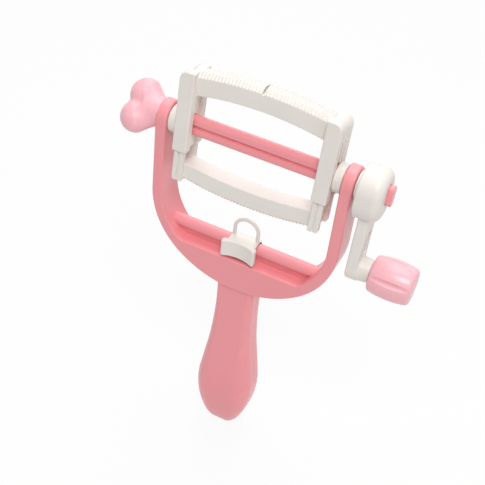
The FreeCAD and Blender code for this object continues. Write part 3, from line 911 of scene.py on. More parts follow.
@dataclass
class Handle:
    """Two handle shells that meet on the middle plane, with sunk screws at the rear.

    Args:
        stations: Drop below the bow, half width, half depth and corner radius.
        bow_drop: Drop of the bow's lowest point.
        screw_drops: Drops of the screws below the bow.
        screw_radius: Radius of the wells.
        screw_sink: Depth of a well's floor under the surface.
        seam: Depth of the parting line's groove.
        rings: Number of sections above the lower end.
        end_height: Height of the lower end's rounding.
        end_rounding: Its sections: height over the end, and how far each is drawn in.
        well_length: Length of the shape that cuts a well.
        well_rim: Radius of its rims.
    """

    stations: tuple[tuple[float, float, float, float], ...] = (
        (-6.0, 10.9, 7.2, 3.5), (16.0, 10.5, 7.4, 4.0), (38.0, 11.7, 8.6, 5.0),
        (58.0, 14.4, 10.2, 6.5), (73.0, 16.2, 11.2, 8.0), (87.0, 14.8, 10.4, 7.5),
        (99.0, 10.8, 7.9, 5.5), (105.0, 7.4, 5.4, 4.0))
    bow_drop: float = 84.0
    screw_drops: tuple[float, ...] = (9.0, 20.0, 74.0)
    screw_radius: float = 2.7
    screw_sink: float = 3.2
    seam: float = 0.22
    rings: int = 60
    end_height: float = 1.2
    end_rounding: tuple[tuple[float, float], ...] = (
        (0.9, 0.06), (0.5, 0.24), (0.2, 0.55), (0.0, 1.0))
    well_length: float = 8.0
    well_rim: float = 0.05

    def station(self, drop: float) -> tuple[float, float, float]:
        """Smooth size between the stations.

        Args:
            drop: Drop below the bow.

        Returns:
            Half width, half depth and corner radius.
        """
        rows = self.stations
        last = len(rows) - 2
        index = max(i for i in range(last + 1) if rows[i][0] <= drop + TINY)
        first, second = rows[index], rows[index + 1]
        before, after = rows[max(index - 1, 0)], rows[min(index + 2, len(rows) - 1)]
        span = second[0] - first[0]
        share = (drop - first[0]) / span
        values = []
        for k in (1, 2, 3):
            slope_in = (second[k] - before[k]) / (second[0] - before[0]) * span
            slope_out = (after[k] - first[k]) / (after[0] - first[0]) * span
            cube, square = share ** 3, share ** 2
            values.append((2 * cube - 3 * square + 1) * first[k]
                          + (cube - 2 * square + share) * slope_in
                          + (3 * square - 2 * cube) * second[k] + (cube - square) * slope_out)
        return values[0], values[1], values[2]

    def half_ring(self, drop: float, inset_by: float, side: int) -> Ring:
        """Front or rear half of the handle's section.

        Args:
            drop: Drop below the bow.
            inset_by: How much the section is drawn in.
            side: -1 for the front shell and 1 for the rear one.

        Returns:
            The half ring, from one parting line to the other.
        """
        held = min(max(drop, self.stations[0][0]), self.stations[-1][0])
        wide, deep, corner = self.station(held)
        wide, deep = wide - inset_by, deep - inset_by
        corner = max(corner - inset_by / 2, 1.0)
        quarter = [(wide - self.seam, 0.0), (wide, self.seam * 1.2), (wide, (deep - corner) * 0.5)]
        quarter += arc((wide - corner, deep - corner), corner, 0.0, 90.0, 9)
        quarter += [((wide - corner) * 0.66, deep), ((wide - corner) * 0.33, deep)]
        full = quarter + [(0.0, deep)] + [(-x, y) for x, y in reversed(quarter)]
        height = -self.bow_drop - drop
        return [Vector((x, side * y, height)) for x, y in full]

    def build(self, finishes: Finishes) -> None:
        """Builds both shells.

        Args:
            finishes: The shared finishes.
        """
        start, end = self.stations[0][0], self.stations[-1][0]
        run = end - self.end_height - start
        drops = [(start + run * step / self.rings, 0.0) for step in range(self.rings + 1)]
        drops += [(end - height, depth) for height, depth in self.end_rounding]
        for side, name, node in ((-1, "handle_front_moulding", "handle_front_shell"),
                                 (1, "handle_rear_moulding", "handle_rear_shell")):
            shell = Moulding(name)
            shell.skin([self.half_ring(drop, depth, side) for drop, depth in drops])
            drafted = shell.draft()
            if side > 0:
                for drop in self.screw_drops:
                    floor = self.station(drop)[1] - self.screw_sink
                    well = Moulding("well")
                    well.rod(circle(self.screw_radius), floor, floor + self.well_length,
                             self.well_rim)
                    cutter = well.draft()
                    cutter.data.transform(Matrix.Translation((0, 0, -self.bow_drop - drop))
                                          @ Matrix.Rotation(math.radians(90), 4, "Z"))
                    joined(drafted, cutter, Work.CUT)
            settle(drafted, Place.STILL, "yoke_body", [node], finishes.pink,
                   crease=32.0)
        dressed(["handle_screws"], finishes.steel)


@dataclass
class Bushes:
    """Flanged bushes in the yoke's eyes.

    Args:
        flange_radius: Radius of the flange.
        sleeve_radius: Radius of the sleeve.
        inner_end: X of the flange's face at the form.
        flange_end: X where the sleeve starts.
        outer_end: X of the sleeve's end.
        flange_rim: Radius of the flange's rims.
        sleeve_rim: Radius of the sleeve's rims.
        lap: How far the sleeve runs into the flange.
    """

    flange_radius: float = 7.15
    sleeve_radius: float = 6.3
    inner_end: float = 39.75
    flange_end: float = 44.0
    outer_end: float = 50.0
    flange_rim: float = 0.5
    sleeve_rim: float = 0.2
    lap: float = 0.3

    def build(self, finishes: Finishes) -> None:
        """Builds both bushes.

        Args:
            finishes: The shared finishes.
        """
        bore = bore_reach()
        for mirror, node in ((False, "right_bush"), (True, "left_bush")):
            bush = Moulding(node + "_moulding", Place.TURNED)
            bush.tube(circle(self.flange_radius), bore, self.inner_end, self.flange_end,
                      self.flange_rim, mirror=mirror)
            bush.tube(circle(self.sleeve_radius), bore, self.flange_end - self.lap, self.outer_end,
                      self.sleeve_rim, mirror=mirror)
            bush.piece("winder", [node], finishes.white)


@dataclass
class ShaftSet:
    """Long rounded shaft, grooved along both flanks, with the heart knob.

    Args:
        left_end: X of the end inside the heart.
        right_end: X of the tip outside the hub.
        lobe: Radius of the section's round ends.
        lobe_offset: Height of their centres over the axis.
        web: Half thickness between the grooves.
        groove_half: Half width of a groove.
        groove_mouth: Radius of a groove's outer corners.
        groove_foot: Radius of its inner corners.
        plain_tip: Length of the tip without grooves.
        tip_rim: Radius of the tip's rims.
        lap: How far the grooved part runs into the tip.
        heart_start: X of the heart's flat end.
        heart_centre: X of the lobes' centres.
        heart_lobe: Radius of a heart lobe.
        heart_offset: Half distance of the lobes.
        heart_flatness: Depth of a lobe over its height.
        heart_turn: Turn of the heart about the axis, in degrees.
        stem_radius: Radius of the stem.
        stem_length: Length of the stem.
        neck_radius: Radius of a lobe's taper at the stem.
        blend: Sharpness of the soft blends, per millimetre.
        core_shift: X of the point inside that the skin is drawn from, over the lobes' centres.
        search: Farthest reach of the skin from that point.
        halvings: Steps that find the skin along a ray.
    """

    left_end: float = -60.0
    right_end: float = 67.0
    lobe: float = 2.55
    lobe_offset: float = LOBE_OFFSET
    web: float = 1.3
    groove_half: float = 0.9
    groove_mouth: float = 0.25
    groove_foot: float = 0.35
    plain_tip: float = 3.0
    tip_rim: float = 0.5
    lap: float = 0.2
    heart_start: float = -50.3
    heart_centre: float = -62.0
    heart_lobe: float = 8.1
    heart_offset: float = 5.9
    heart_flatness: float = 0.82
    heart_turn: float = -44.0
    stem_radius: float = 6.4
    stem_length: float = 9.0
    neck_radius: float = 4.4
    blend: float = 1.1
    core_shift: float = 2.5
    search: float = 24.0
    halvings: int = 26

    def section(self, grooved: bool) -> Flat:
        """Outline of the shaft's section in Y and Z.

        Args:
            grooved: Whether both flanks carry their groove.

        Returns:
            The closed outline.
        """
        corners: Flat = []
        radii: list[float] = []
        half = self.groove_half
        for side in (1, -1):
            end = arc((0.0, side * self.lobe_offset), self.lobe,
                      90.0 - side * 90.0, 270.0 - side * 90.0, 24)
            corners += end
            radii += [0.0] * len(end)
            if grooved:
                corners += [(-side * self.lobe, side * half), (-side * self.web, side * half),
                            (-side * self.web, -side * half), (-side * self.lobe, -side * half)]
                radii += [self.groove_mouth, self.groove_foot, self.groove_foot, self.groove_mouth]
        return rounded(corners, radii)

    def build_shaft(self, finishes: Finishes) -> None:
        """Builds the shaft.

        Args:
            finishes: The shared finishes.
        """
        shaft = Moulding("shaft_moulding", Place.TURNED)
        tip = self.right_end - self.plain_tip
        shaft.slab(self.section(True), Axis.X, self.left_end, tip + self.lap, 0.0)
        shaft.slab(self.section(False), Axis.X, tip, self.right_end, self.tip_rim)
        shaft.piece("shaft_body", ["shaft"], finishes.pink, crease=40.0)
        dressed(["heart_pin"], finishes.steel)

    def heart_distance(self, point: Vector) -> float:
        """Signed distance to the heart, negative inside.

        Args:
            point: Point in millimetres, before the heart's own turn.

        Returns:
            The distance.
        """
        spot = Vector((point.x, point.y / self.heart_flatness, point.z))
        lobes = []
        stem = Vector((self.heart_start, 0.0, 0.0))
        for side in (1, -1):
            centre = Vector((self.heart_centre, 0.0, side * self.heart_offset))
            run = stem - centre
            share = min(max((spot - centre).dot(run) / run.length_squared, 0.0), 1.0)
            radius = self.heart_lobe + (self.neck_radius - self.heart_lobe) * share
            lobes.append((spot - centre - run * share).length - radius)
        across = math.hypot(point.y, point.z) - self.stem_radius
        along = max(self.heart_start - self.stem_length - point.x, point.x - self.heart_start)
        heart = blended(lobes, self.blend)
        whole = blended((heart, max(across, along)), self.blend)
        return max(whole, point.x - self.heart_start)

    def build_heart(self, finishes: Finishes) -> None:
        """Builds the heart as one soft skin that is drawn onto its distance field.

        Args:
            finishes: The shared finishes.
        """
        core = Vector((self.heart_centre + self.core_shift, 0.0, 0.0))
        shell = bmesh.new()
        bmesh.ops.create_icosphere(shell, subdivisions=6, radius=1.0)
        for vert in shell.verts:
            ray = vert.co.normalized()
            near, far = 0.0, self.search
            for _ in range(self.halvings):
                middle = (near + far) / 2
                if self.heart_distance(core + ray * middle) < 0:
                    near = middle
                else:
                    far = middle
            vert.co = core + ray * near
        bmesh.ops.rotate(shell, verts=shell.verts[:], cent=(0, 0, 0),
                         matrix=Matrix.Rotation(math.radians(self.heart_turn), 3, "X"))
        heart = Moulding("heart_knob_moulding", Place.TURNED, shell)
        # The heart takes the pink painted paler, which paints the stronger light and highlight on
        # it.
        heart.piece("shaft_body", ["heart_knob"], finishes.pale, crease=55.0)


@dataclass
class WindingForm:
    """Two-part winding form: toothed bowed bars, posts, end walls and sliding legs.

    Args:
        half_width: Half width over the posts.
        half_depth: Half depth over the posts.
        post_width: Width of a post.
        post_depth: Depth of a post.
        post_bottom: Drop of the posts' lower ends.
        post_top: Height of the front posts.
        block_top: Height of the end blocks and rear posts.
        bar_half_depth: Half depth of a bar.
        crown_half: Half depth of its crown.
        crown_drop: Fall of the crown to the bar's faces.
        upper: Inner height, inner sag, outer height and outer sag of the upper bar.
        lower: The same of the lower bar, downwards.
        pitch: Pitch of the teeth.
        tooth: Height of a tooth.
        slit_half: Half width of the slit.
        slit_depth: Depth of the slit under the teeth.
        slit_step: Length over which the bar drops into the slit.
        slit_dip: Dip of the tooth line beside the slit.
        tip_half: Half of a tooth's flat tip, as a share of the pitch.
        tip_dip: Dip at the ends of that tip.
        seat: How far a bar runs into the blocks at its ends.
        post_corner: Radius of a front post's outer top corner.
        block_corner: The same of the end blocks and rear posts.
        post_edge: Radius of the posts' rims.
        block_edge: Radius of the end blocks' rims.
        wall_outer: Distance from an end wall's outer face to the posts'.
        wall_inner: The same of its inner face.
        wall_half: Half width of an end wall.
        rib_half: Half width of the rib on an end wall.
        rib_low: Height of the rib's lower end.
        leg_inset: How far the legs lie inside the posts.
        leg_groove: Half width of the groove down a leg.
        leg_groove_depth: Depth of that groove, with the legs' lap.
        leg_foot: Radius of a foot's outer corner.
        leg_edge: Radius of the legs' rims.
        leg_corner: Radius of a leg's hidden top corner.
        leg_low: Drop of the legs' feet.
        leg_top: Height of the legs' tops.
    """

    half_width: float = 39.7
    half_depth: float = 8.5
    post_width: float = 7.5
    post_depth: float = 5.0
    post_bottom: float = 12.2
    post_top: float = 29.0
    block_top: float = 28.0
    bar_half_depth: float = 5.1
    crown_half: float = 2.4
    crown_drop: float = 2.2
    upper: tuple[float, float, float, float] = (20.5, 3.4, 31.6, 2.9)
    lower: tuple[float, float, float, float] = (21.7, 2.8, 32.2, 3.3)
    pitch: float = 1.7
    tooth: float = 0.55
    slit_half: float = 0.55
    slit_depth: float = 2.6
    slit_step: float = 0.02
    slit_dip: float = 0.3
    tip_half: float = 0.1
    tip_dip: float = 0.06
    seat: float = 1.0
    post_corner: float = 4.0
    block_corner: float = 5.0
    post_edge: float = 0.7
    block_edge: float = 0.3
    wall_outer: float = 2.4
    wall_inner: float = 6.0
    wall_half: float = 3.7
    rib_half: float = 0.7
    rib_low: float = 7.3
    leg_inset: float = 1.1
    leg_groove: float = 0.45
    leg_groove_depth: float = 0.8
    leg_foot: float = 1.6
    leg_edge: float = 0.3
    leg_corner: float = 0.4
    leg_low: float = 28.4
    leg_top: float = 12.0

    def bar_ring(self, x: float, sizes: tuple[float, float, float, float], half_span: float,
                 dip: float, floor: float | None) -> Ring:
        """Section of a bar at one place.

        Args:
            x: Place along the bar.
            sizes: Inner height, inner sag, outer height and outer sag.
            half_span: Half span of the bar.
            dip: How deep the tooth line lies here.
            floor: Height that the top is held under, for the slit.

        Returns:
            The ring's points.
        """
        inner, inner_sag, outer, outer_sag = sizes
        low = inner - inner_sag * (x / half_span) ** 2
        crown = outer - outer_sag * (x / half_span) ** 2
        deep, flat = self.bar_half_depth, self.crown_half
        side = crown - self.crown_drop
        # From the inner face, round its edge, up the side and over the crown to its middle.
        right = [(deep - 0.5, low), (deep - 0.15, low + 0.15), (deep, low + 0.5),
                 (deep, (low + side) / 2), (deep, side - 0.55 - dip * 0.6),
                 (deep - 0.14, side - 0.1 - dip * 0.8), (deep - 0.5, side + 0.3 - dip),
                 (flat + 0.7, crown - 0.5 - dip), (flat - 0.1, crown - 0.08 - dip),
                 (flat * 0.4, crown - dip)]
        ring = []
        for y, z in right + [(-y, z) for y, z in reversed(right)]:
            height = min(z, floor) if floor is not None else z
            ring.append(Vector((x, y, height)))
        return ring

    def bar(self, sizes: tuple[float, float, float, float], half_span: float,
            slit: bool) -> list[Ring]:
        """Every section of a toothed bar.

        Args:
            sizes: Inner height, inner sag, outer height and outer sag.
            half_span: Half span of the bar.
            slit: Whether the middle carries the slit.

        Returns:
            The rings from -X to +X.
        """
        count = int(round(2 * half_span / self.pitch))
        step = 2 * half_span / count
        places: list[tuple[float, float]] = []
        for number in range(count):
            start = -half_span + number * step
            places += [(start, self.tooth), (start + step * (0.5 - self.tip_half), self.tip_dip),
                       (start + step * 0.5, 0.0),
                       (start + step * (0.5 + self.tip_half), self.tip_dip)]
        places.append((half_span, self.tooth))
        floor = sizes[2] - self.slit_depth - self.tooth
        rings = []
        for x, dip in places:
            if not (slit and abs(x) < self.slit_half + 0.05):
                rings.append((x, self.bar_ring(x, sizes, half_span, dip, None)))
        if slit:
            edge = self.slit_half + self.slit_step
            for x, low in ((-edge, None), (-self.slit_half, floor), (0.0, floor),
                           (self.slit_half, floor), (edge, None)):
                rings.append((x, self.bar_ring(x, sizes, half_span, self.slit_dip, low)))
        rings.sort(key=lambda pair: pair[0])
        return [ring for _, ring in rings]

    def corner_slab(self, form: Moulding, x0: float, x1: float, low: float, top: float, y0: float,
                    y1: float, corner: float, edge: float, foot: float = 0.5) -> None:
        """An upright block at both ends of the form, its outer top corner well rounded.

        Args:
            form: Moulding that takes it.
            x0: Inner face.
            x1: Outer face.
            low: Lower end.
            top: Upper end.
            y0: Front face.
            y1: Rear face.
            corner: Radius of the outer top corner.
            edge: Radius of the rims.
            foot: Radius of the outer lower corner.
        """
        plain = edge + 0.15
        outline = rounded([(x0, low), (x1, low), (x1, top), (x0, top)],
                          [plain, max(foot, plain), max(corner, plain), plain], 8)
        for mirror in (False, True):
            form.slab(outline, Axis.Y, y0, y1, edge, mirror)

    def build_upper(self, finishes: Finishes) -> None:
        """Builds the upper half.

        Args:
            finishes: The shared finishes.
        """
        form = Moulding("winding_top_moulding", Place.TURNED)
        inner = self.half_width - self.post_width
        form.skin(self.bar(self.upper, inner + self.seat, True))
        front = -self.half_depth
        self.corner_slab(form, inner, self.half_width, -self.post_bottom, self.post_top,
                         front, front + self.post_depth, self.post_corner, self.post_edge)
        self.corner_slab(form, inner, self.half_width, -self.post_bottom, self.block_top,
                         -front - self.post_depth, -front, self.block_corner, self.post_edge)
        self.corner_slab(form, inner + 0.15, self.half_width - 0.35, self.upper[0] - self.upper[1],
                         self.block_top - 0.15, -self.bar_half_depth + 0.1,
                         self.bar_half_depth - 0.1, self.block_corner, self.block_edge)
        wall_out, wall_in = self.half_width - self.wall_outer, self.half_width - self.wall_inner
        wall = block_reach((-self.wall_half, -self.post_bottom + 0.1),
                           (self.wall_half, self.upper[0]))
        rib = [(-self.rib_half, self.rib_low), (self.rib_half, self.rib_low),
               (self.rib_half, self.upper[0]), (-self.rib_half, self.upper[0])]
        for mirror in (False, True):
            form.tube(wall, bore_reach(), wall_in, wall_out, 0.1, mirror=mirror)
            form.slab(rib, Axis.X, wall_out - 0.2, self.half_width - 0.05, 0.2, mirror)
        form.piece("winder", ["winding_top"], finishes.white, crease=30.0)

    def build_lower(self, finishes: Finishes) -> None:
        """Builds the lower half with its grooved legs.

        Args:
            finishes: The shared finishes.
        """
        form = Moulding("winding_bottom_moulding", Place.TURNED)
        x0 = self.half_width - self.post_width + self.leg_inset
        x1 = self.half_width - self.leg_inset
        bar = self.bar(self.lower, x0 + self.seat, False)
        form.skin([[Vector((point.x, point.y, -point.z)) for point in ring] for ring in bar])
        y0 = -self.half_depth + self.leg_inset
        y1 = -self.half_depth + self.post_depth - self.leg_inset
        middle = (x0 + x1) / 2
        foot, top, corner = -self.leg_low, self.leg_top, self.leg_corner
        for side in (1, -1):
            back, front = sorted((side * (y0 + 0.6), side * y1))
            self.corner_slab(form, x0 + 0.05, x1 - 0.05, foot, top, back, front,
                             corner, self.leg_edge, self.leg_foot)
            near, far = sorted((side * y0, side * (y0 + self.leg_groove_depth)))
            self.corner_slab(form, x0, middle - self.leg_groove, foot, top, near, far,
                             corner, 0.25, 0.4)
            self.corner_slab(form, middle + self.leg_groove, x1, foot, top, near, far,
                             corner, 0.25, self.leg_foot)
        low, high = foot + 0.1, -self.lower[0] + self.lower[1] - 0.1
        self.corner_slab(form, x0 + 0.1, x1 - 2.0, low, high, y1 - 0.1, -y1 + 0.1,
                         corner, self.leg_edge, 0.8)
        form.piece("lower_form", ["winding_bottom"], finishes.white, crease=30.0)


@dataclass
class Crank:
    """Hub, arm and the boss that carries the knob.

    Args:
        hub_start: X of the hub's inner face.
        hub_end: X of the hub's outer face.
        hub_radius: Radius of the hub's round ends.
        hub_drop: Drop of the lower round.
        collar_start: X of the collar's face at the arm of the yoke.
        collar_radius: Radius of the collar.
        arm_start: X of the arm's inner face.
        arm_end: X of the arm's outer face.
        arm_half: Half width of the arm.
        arm_top: Drop of the arm's hidden upper end.
        radius: Distance from the winding axis to the knob.
        groove_half: Half width of the groove on the arm.
        groove_depth: Depth of the groove.
        groove_top: Drop of the groove's upper end.
        boss_root: Radius of the boss at the arm.
        boss_tip: Radius of the boss at the knob.
        boss_end: X of the boss's tip.
        hub_rim: Radius of the hub's inner rim.
        hub_round: Radius of its outer rim.
        collar_rim: Radius of the collar's rims.
        collar_lap: How far the collar runs into the hub.
        arm_edge: Radius of the arm's rims.
        groove_corner: Radius of the groove's corners.
    """

    hub_start: float = 52.1
    hub_end: float = 64.3
    hub_radius: float = 11.5
    hub_drop: float = 3.4
    collar_start: float = 50.3
    collar_radius: float = 7.0
    arm_start: float = 55.1
    arm_end: float = 60.5
    arm_half: float = 6.6
    arm_top: float = 5.6
    radius: float = CRANK_RADIUS
    groove_half: float = 3.6
    groove_depth: float = 0.8
    groove_top: float = 22.0
    boss_root: float = 6.2
    boss_tip: float = 5.6
    boss_end: float = 66.3
    hub_rim: float = 0.9
    hub_round: float = 4.4
    collar_rim: float = 0.3
    collar_lap: float = 0.6
    arm_edge: float = 0.9
    groove_corner: float = 1.2

    def build_hub(self, finishes: Finishes) -> None:
        """Builds the hub with its keyed bore.

        Args:
            finishes: The shared finishes.
        """
        hub = Moulding("crank_hub_moulding", Place.TURNED)
        bore = bore_reach()
        hub.tube(stadium(self.hub_radius, self.hub_drop), bore, self.hub_start, self.hub_end,
                 self.hub_rim, far_rim=self.hub_round)
        hub.tube(circle(self.collar_radius), bore, self.collar_start,
                 self.hub_start + self.collar_lap, self.collar_rim)
        hub.piece("winder", ["crank_hub"], finishes.white, crease=40.0)
        dressed(["hub_screws", "shaft_spring"], finishes.steel)

    def build_arm(self, finishes: Finishes) -> None:
        """Builds the arm with its grooved face and the boss.

        Args:
            finishes: The shared finishes.
        """
        arm = Moulding("crank_arm_moulding", Place.TURNED)
        outline = [(self.arm_half, -self.arm_top), (-self.arm_half, -self.arm_top)]
        outline += arc((0.0, -self.radius), self.arm_half, 180.0, 360.0, 24)
        arm.slab(outline, Axis.X, self.arm_start, self.arm_end, self.arm_edge)
        plate = arm.draft()
        top, low = -self.groove_top, -self.radius + self.boss_root + 0.6
        half = self.groove_half
        slot = Moulding("slot")
        corners = [(-half, low), (half, low), (half, top), (-half, top)]
        slot.slab(rounded(corners, [self.groove_corner] * 4), Axis.X,
                  self.arm_end - self.groove_depth, self.arm_end + 2.0, 0.1)
        joined(plate, slot.draft(), Work.CUT)
        boss = Moulding("boss")
        start, root, end, tip = self.arm_end, self.boss_root, self.boss_end, self.boss_tip
        # From inside the arm, up the fillet at its face and along the taper to the eased tip.
        profile = [(start - 0.6, root + 0.9), (start + 0.02, root + 0.4),
                   (start + 0.4, root + 0.12), (start + 1.1, root - 0.08),
                   (end - 0.5, tip + 0.03), (end - 0.15, tip - 0.12), (end, tip - 0.45)]
        widest = self.arm_half - 0.05
        boss.skin([radial(x, circle(min(reach, widest)), self.radius) for x, reach in profile])
        joined(plate, boss.draft(), Work.ADD)
        settle(plate, Place.TURNED, "winder", ["crank_arm"], finishes.white,
               crease=32.0)


@dataclass
class CrankKnob:
    """Fluted barrel knob that spins on its pin.

    Args:
        start: X of the knob's inner end.
        length: Length of the knob.
        end_radius: Radius at the ends.
        mid_radius: Radius in the middle.
        flutes: Number of flutes.
        flute_radius: Radius of a flute.
        flute_depth: Depth of a flute.
        bore: Radius of the bore.
        well_radius: Radius of the well.
        well_depth: Depth of the well.
        cap_thickness: Thickness of the cap.
        drop: Distance from the winding axis.
        rim: Radius of the knob's rims.
        rim_steps: Steps in a rim.
        spans: Number of spans between the rims.
        blend: Sharpness of a flute's edges, per millimetre.
        cap_room: Room of the cap in the well.
        cap_rim: Radius of the cap's rims.
    """

    start: float = 66.6
    length: float = 20.6
    end_radius: float = 8.7
    mid_radius: float = 10.0
    flutes: int = 5
    flute_radius: float = 1.5
    flute_depth: float = 1.1
    bore: float = 2.55
    well_radius: float = 5.2
    well_depth: float = 6.0
    cap_thickness: float = 2.2
    drop: float = CRANK_RADIUS
    rim: float = 1.3
    rim_steps: int = 5
    spans: int = 18
    blend: float = 9.0
    cap_room: float = 0.05
    cap_rim: float = 0.3

    def reach(self, radius: float) -> Reach:
        """Reach of the barrel's fluted section.

        Args:
            radius: Radius between the flutes.

        Returns:
            The reach by angle.
        """
        centre = self.mid_radius + self.flute_radius - self.flute_depth

        def fluted(angle: float) -> float:
            """Reach at one angle.

            Args:
                angle: Angle from +Y towards +Z, in radians.

            Returns:
                The distance from the knob's line.
            """
            pitch = 2 * math.pi / self.flutes
            off = (angle - math.pi / 2 + pitch / 2) % pitch - pitch / 2
            under = self.flute_radius ** 2 - (centre * math.sin(off)) ** 2
            if under <= 0:
                return radius
            cut = centre * math.cos(off) - math.sqrt(under)
            return blended((cut, radius), self.blend)
        return fluted

    def build(self, finishes: Finishes) -> None:
        """Builds the knob and its cap.

        Args:
            finishes: The shared finishes.
        """
        knob = Moulding("crank_knob_moulding", Place.TURNED)
        end = self.start + self.length
        swell = self.mid_radius - self.end_radius
        rings = [radial(self.start, circle(self.bore), self.drop, count=KNOB_SAMPLES)]
        ends = levels(0.0, self.length, self.rim, self.rim, self.rim_steps, self.rim_steps)
        run = self.length - 2 * self.rim
        barrel = [(self.rim + run * step / self.spans, 0.0) for step in range(1, self.spans)]
        half = len(ends) // 2
        for along, depth in ends[:half] + barrel + ends[half:]:
            bulge = 1 - (2 * along / self.length - 1) ** 2
            radius = self.end_radius + swell * bulge - depth
            rings.append(radial(self.start + along, self.reach(radius), self.drop,
                                count=KNOB_SAMPLES))
        floor = end - self.well_depth
        for x, radius in ((end, self.well_radius + HOLE_RIM), (end - HOLE_RIM, self.well_radius),
                          (floor, self.well_radius), (floor, self.bore)):
            rings.append(radial(x, circle(radius), self.drop, count=KNOB_SAMPLES))
        knob.skin(rings, closed=True)
        # The knob and its cap take the pink painted paler, which paints the stronger light and
        # highlight on them.
        knob.piece("knob_body", ["crank_knob"], finishes.pale, crease=40.0)
        cap = Moulding("knob_cap_moulding", Place.TURNED)
        cap.rod(circle(self.well_radius - self.cap_room), end - self.cap_thickness, end,
                self.cap_rim, self.drop)
        cap.piece("knob_body", ["knob_cap"], finishes.pale)
        dressed(["knob_pin"], finishes.steel)


@dataclass
class SlidingGuide:
    """Slider with a scooped front plate and the upright eye.

    Args:
        half_width: Half width of the plate.
        plate_low: Height of the plate's lower edge.
        plate_top: Height of its upper edge.
        front: Y of the plate's side edges.
        scoop: Depth of the scoop.
        thickness: Thickness of the plate.
        plate_round: Radius of the plate's upright edges.
        block_half: Half width of the block.
        block_reach: Radius of the block's round back about the rail.
        block_top: Height of the block's top.
        block_low: Height of the jaws' tips.
        channel: Radius of the channel round the rail.
        mouth: Half width of the channel's mouth.
        rail_drop: Drop of the rail.
        ring_drop: Drop of the eye's centre.
        ring_radius: Radius of the eye's wire line.
        wire: Radius of the eye's wire.
        plate_rim: Radius of the plate's rims.
        block_rim: Radius of the block's rims.
        block_gap: How far the block's front lies behind the scoop's floor.
        foot_sink: How far the eye's feet run into the block.
        arch_steps: Steps round the eye.
        foot_steps: Steps up a foot of the eye.
        wire_steps: Steps round its wire.
    """

    half_width: float = 9.2
    plate_low: float = -62.8
    plate_top: float = -53.4
    front: float = -10.4
    scoop: float = 2.6
    thickness: float = 3.0
    plate_round: float = 1.0
    block_half: float = 7.4
    block_reach: float = 4.6
    block_top: float = -54.6
    block_low: float = -60.8
    channel: float = 3.4
    mouth: float = 1.7
    rail_drop: float = RAIL_DROP
    ring_drop: float = 49.95
    ring_radius: float = 6.35
    wire: float = 0.95
    plate_rim: float = 0.55
    block_rim: float = 0.35
    block_gap: float = 1.2
    foot_sink: float = 0.3
    arch_steps: int = 40
    foot_steps: int = 4
    wire_steps: int = 20

    def build_slider(self, finishes: Finishes) -> None:
        """Builds the plate and the block round the rail.

        Args:
            finishes: The shared finishes.
        """
        slider = Moulding("guide_slider_moulding")
        radius = (self.half_width ** 2 + self.scoop ** 2) / (2 * self.scoop)
        centre = (0.0, self.front - radius + self.scoop)
        half = math.degrees(math.asin(self.half_width / radius))
        near = arc(centre, radius, 90.0 + half, 90.0 - half, 20)
        outer = radius + self.thickness
        far_half = math.degrees(math.asin(self.half_width / outer))
        far = arc(centre, outer, 90.0 - far_half, 90.0 + far_half, 20)
        # The points next to each corner go, so that the corner has room to be rounded.
        sides = [side[:1] + side[3:-3] + side[-1:] for side in (near, far)]
        radii = [self.plate_round] + [0.0] * (len(sides[0]) - 2) + [self.plate_round]
        slider.slab(rounded(sides[0] + sides[1], radii + radii), Axis.Z,
                    self.plate_low, self.plate_top, self.plate_rim)
        lean = math.degrees(math.asin(self.mouth / self.channel))
        rail = (0.0, -self.rail_drop)
        jaw = arc(rail, self.channel, 270.0 + lean, 270.0 - lean + 360.0, 30)
        jaw = [point for point in jaw if point[1] > self.block_low + 0.05]
        face = self.front + self.scoop + self.block_gap
        top = math.degrees(math.asin((self.block_top + self.rail_drop) / self.block_reach))
        low = math.degrees(math.asin((self.block_low + self.rail_drop) / self.block_reach))
        back = arc(rail, self.block_reach, top, low, 16)
        outline = [(jaw[-1][0], self.block_low), (face, self.block_low), (face, self.block_top)]
        outline += back + [(jaw[0][0], self.block_low)]
        slider.slab(outline + jaw, Axis.X, -self.block_half, self.block_half, self.block_rim)
        slider.piece("guide_body", ["guide_slider"], finishes.white, crease=30.0)

    def build_eye(self, finishes: Finishes) -> None:
        """Builds the eye as an upright arch whose feet stand in the block.

        Args:
            finishes: The shared finishes.
        """
        eye = Moulding("guide_eye_moulding")
        foot = self.block_top - self.foot_sink
        crown = arc((0.0, -self.ring_drop), self.ring_radius, 0.0, 180.0, self.arch_steps)
        legs = [foot + (-self.ring_drop - foot) * step / self.foot_steps
                for step in range(self.foot_steps)]
        path = [(self.ring_radius, height, 0.0) for height in legs]
        path += [(x, z, math.pi * step / self.arch_steps) for step, (x, z) in enumerate(crown)]
        path += [(-self.ring_radius, height, math.pi) for height in reversed(legs)]
        laps = [2 * math.pi * step / self.wire_steps for step in range(self.wire_steps)]
        rear = Vector((0, 1, 0))
        rings = []
        for x, z, turn in path:
            out = Vector((math.cos(turn), 0.0, math.sin(turn)))
            centre = Vector((x, 0.0, z))
            rings.append([centre + (out * math.cos(lap) + rear * math.sin(lap)) * self.wire
                          for lap in laps])
        eye.skin(rings)
        eye.piece("guide_body", ["guide_eye"], finishes.white, crease=60.0)


# Studio


@dataclass(frozen=True)
class Lamp:
    """A soft square lamp that faces the object.

    Args:
        name: Name of the lamp.
        spot: Place of the lamp, in metres.
        size: Edge length of its panel, in metres.
        watts: Power.
    """

    name: str
    spot: tuple[float, float, float]
    size: float
    watts: float

    def hang(self, aim: Vector) -> None:
        """Hangs the lamp.

        Args:
            aim: Point that it faces.
        """
        data = bpy.data.lights.new(self.name, "AREA")
        data.shape = "SQUARE"
        data.size = self.size
        data.energy = self.watts
        lamp = bpy.data.objects.new(self.name, data)
        lamp.location = self.spot
        lamp.rotation_euler = (aim - Vector(self.spot)).to_track_quat("-Z", "Y").to_euler()
        bpy.context.scene.collection.objects.link(lamp)


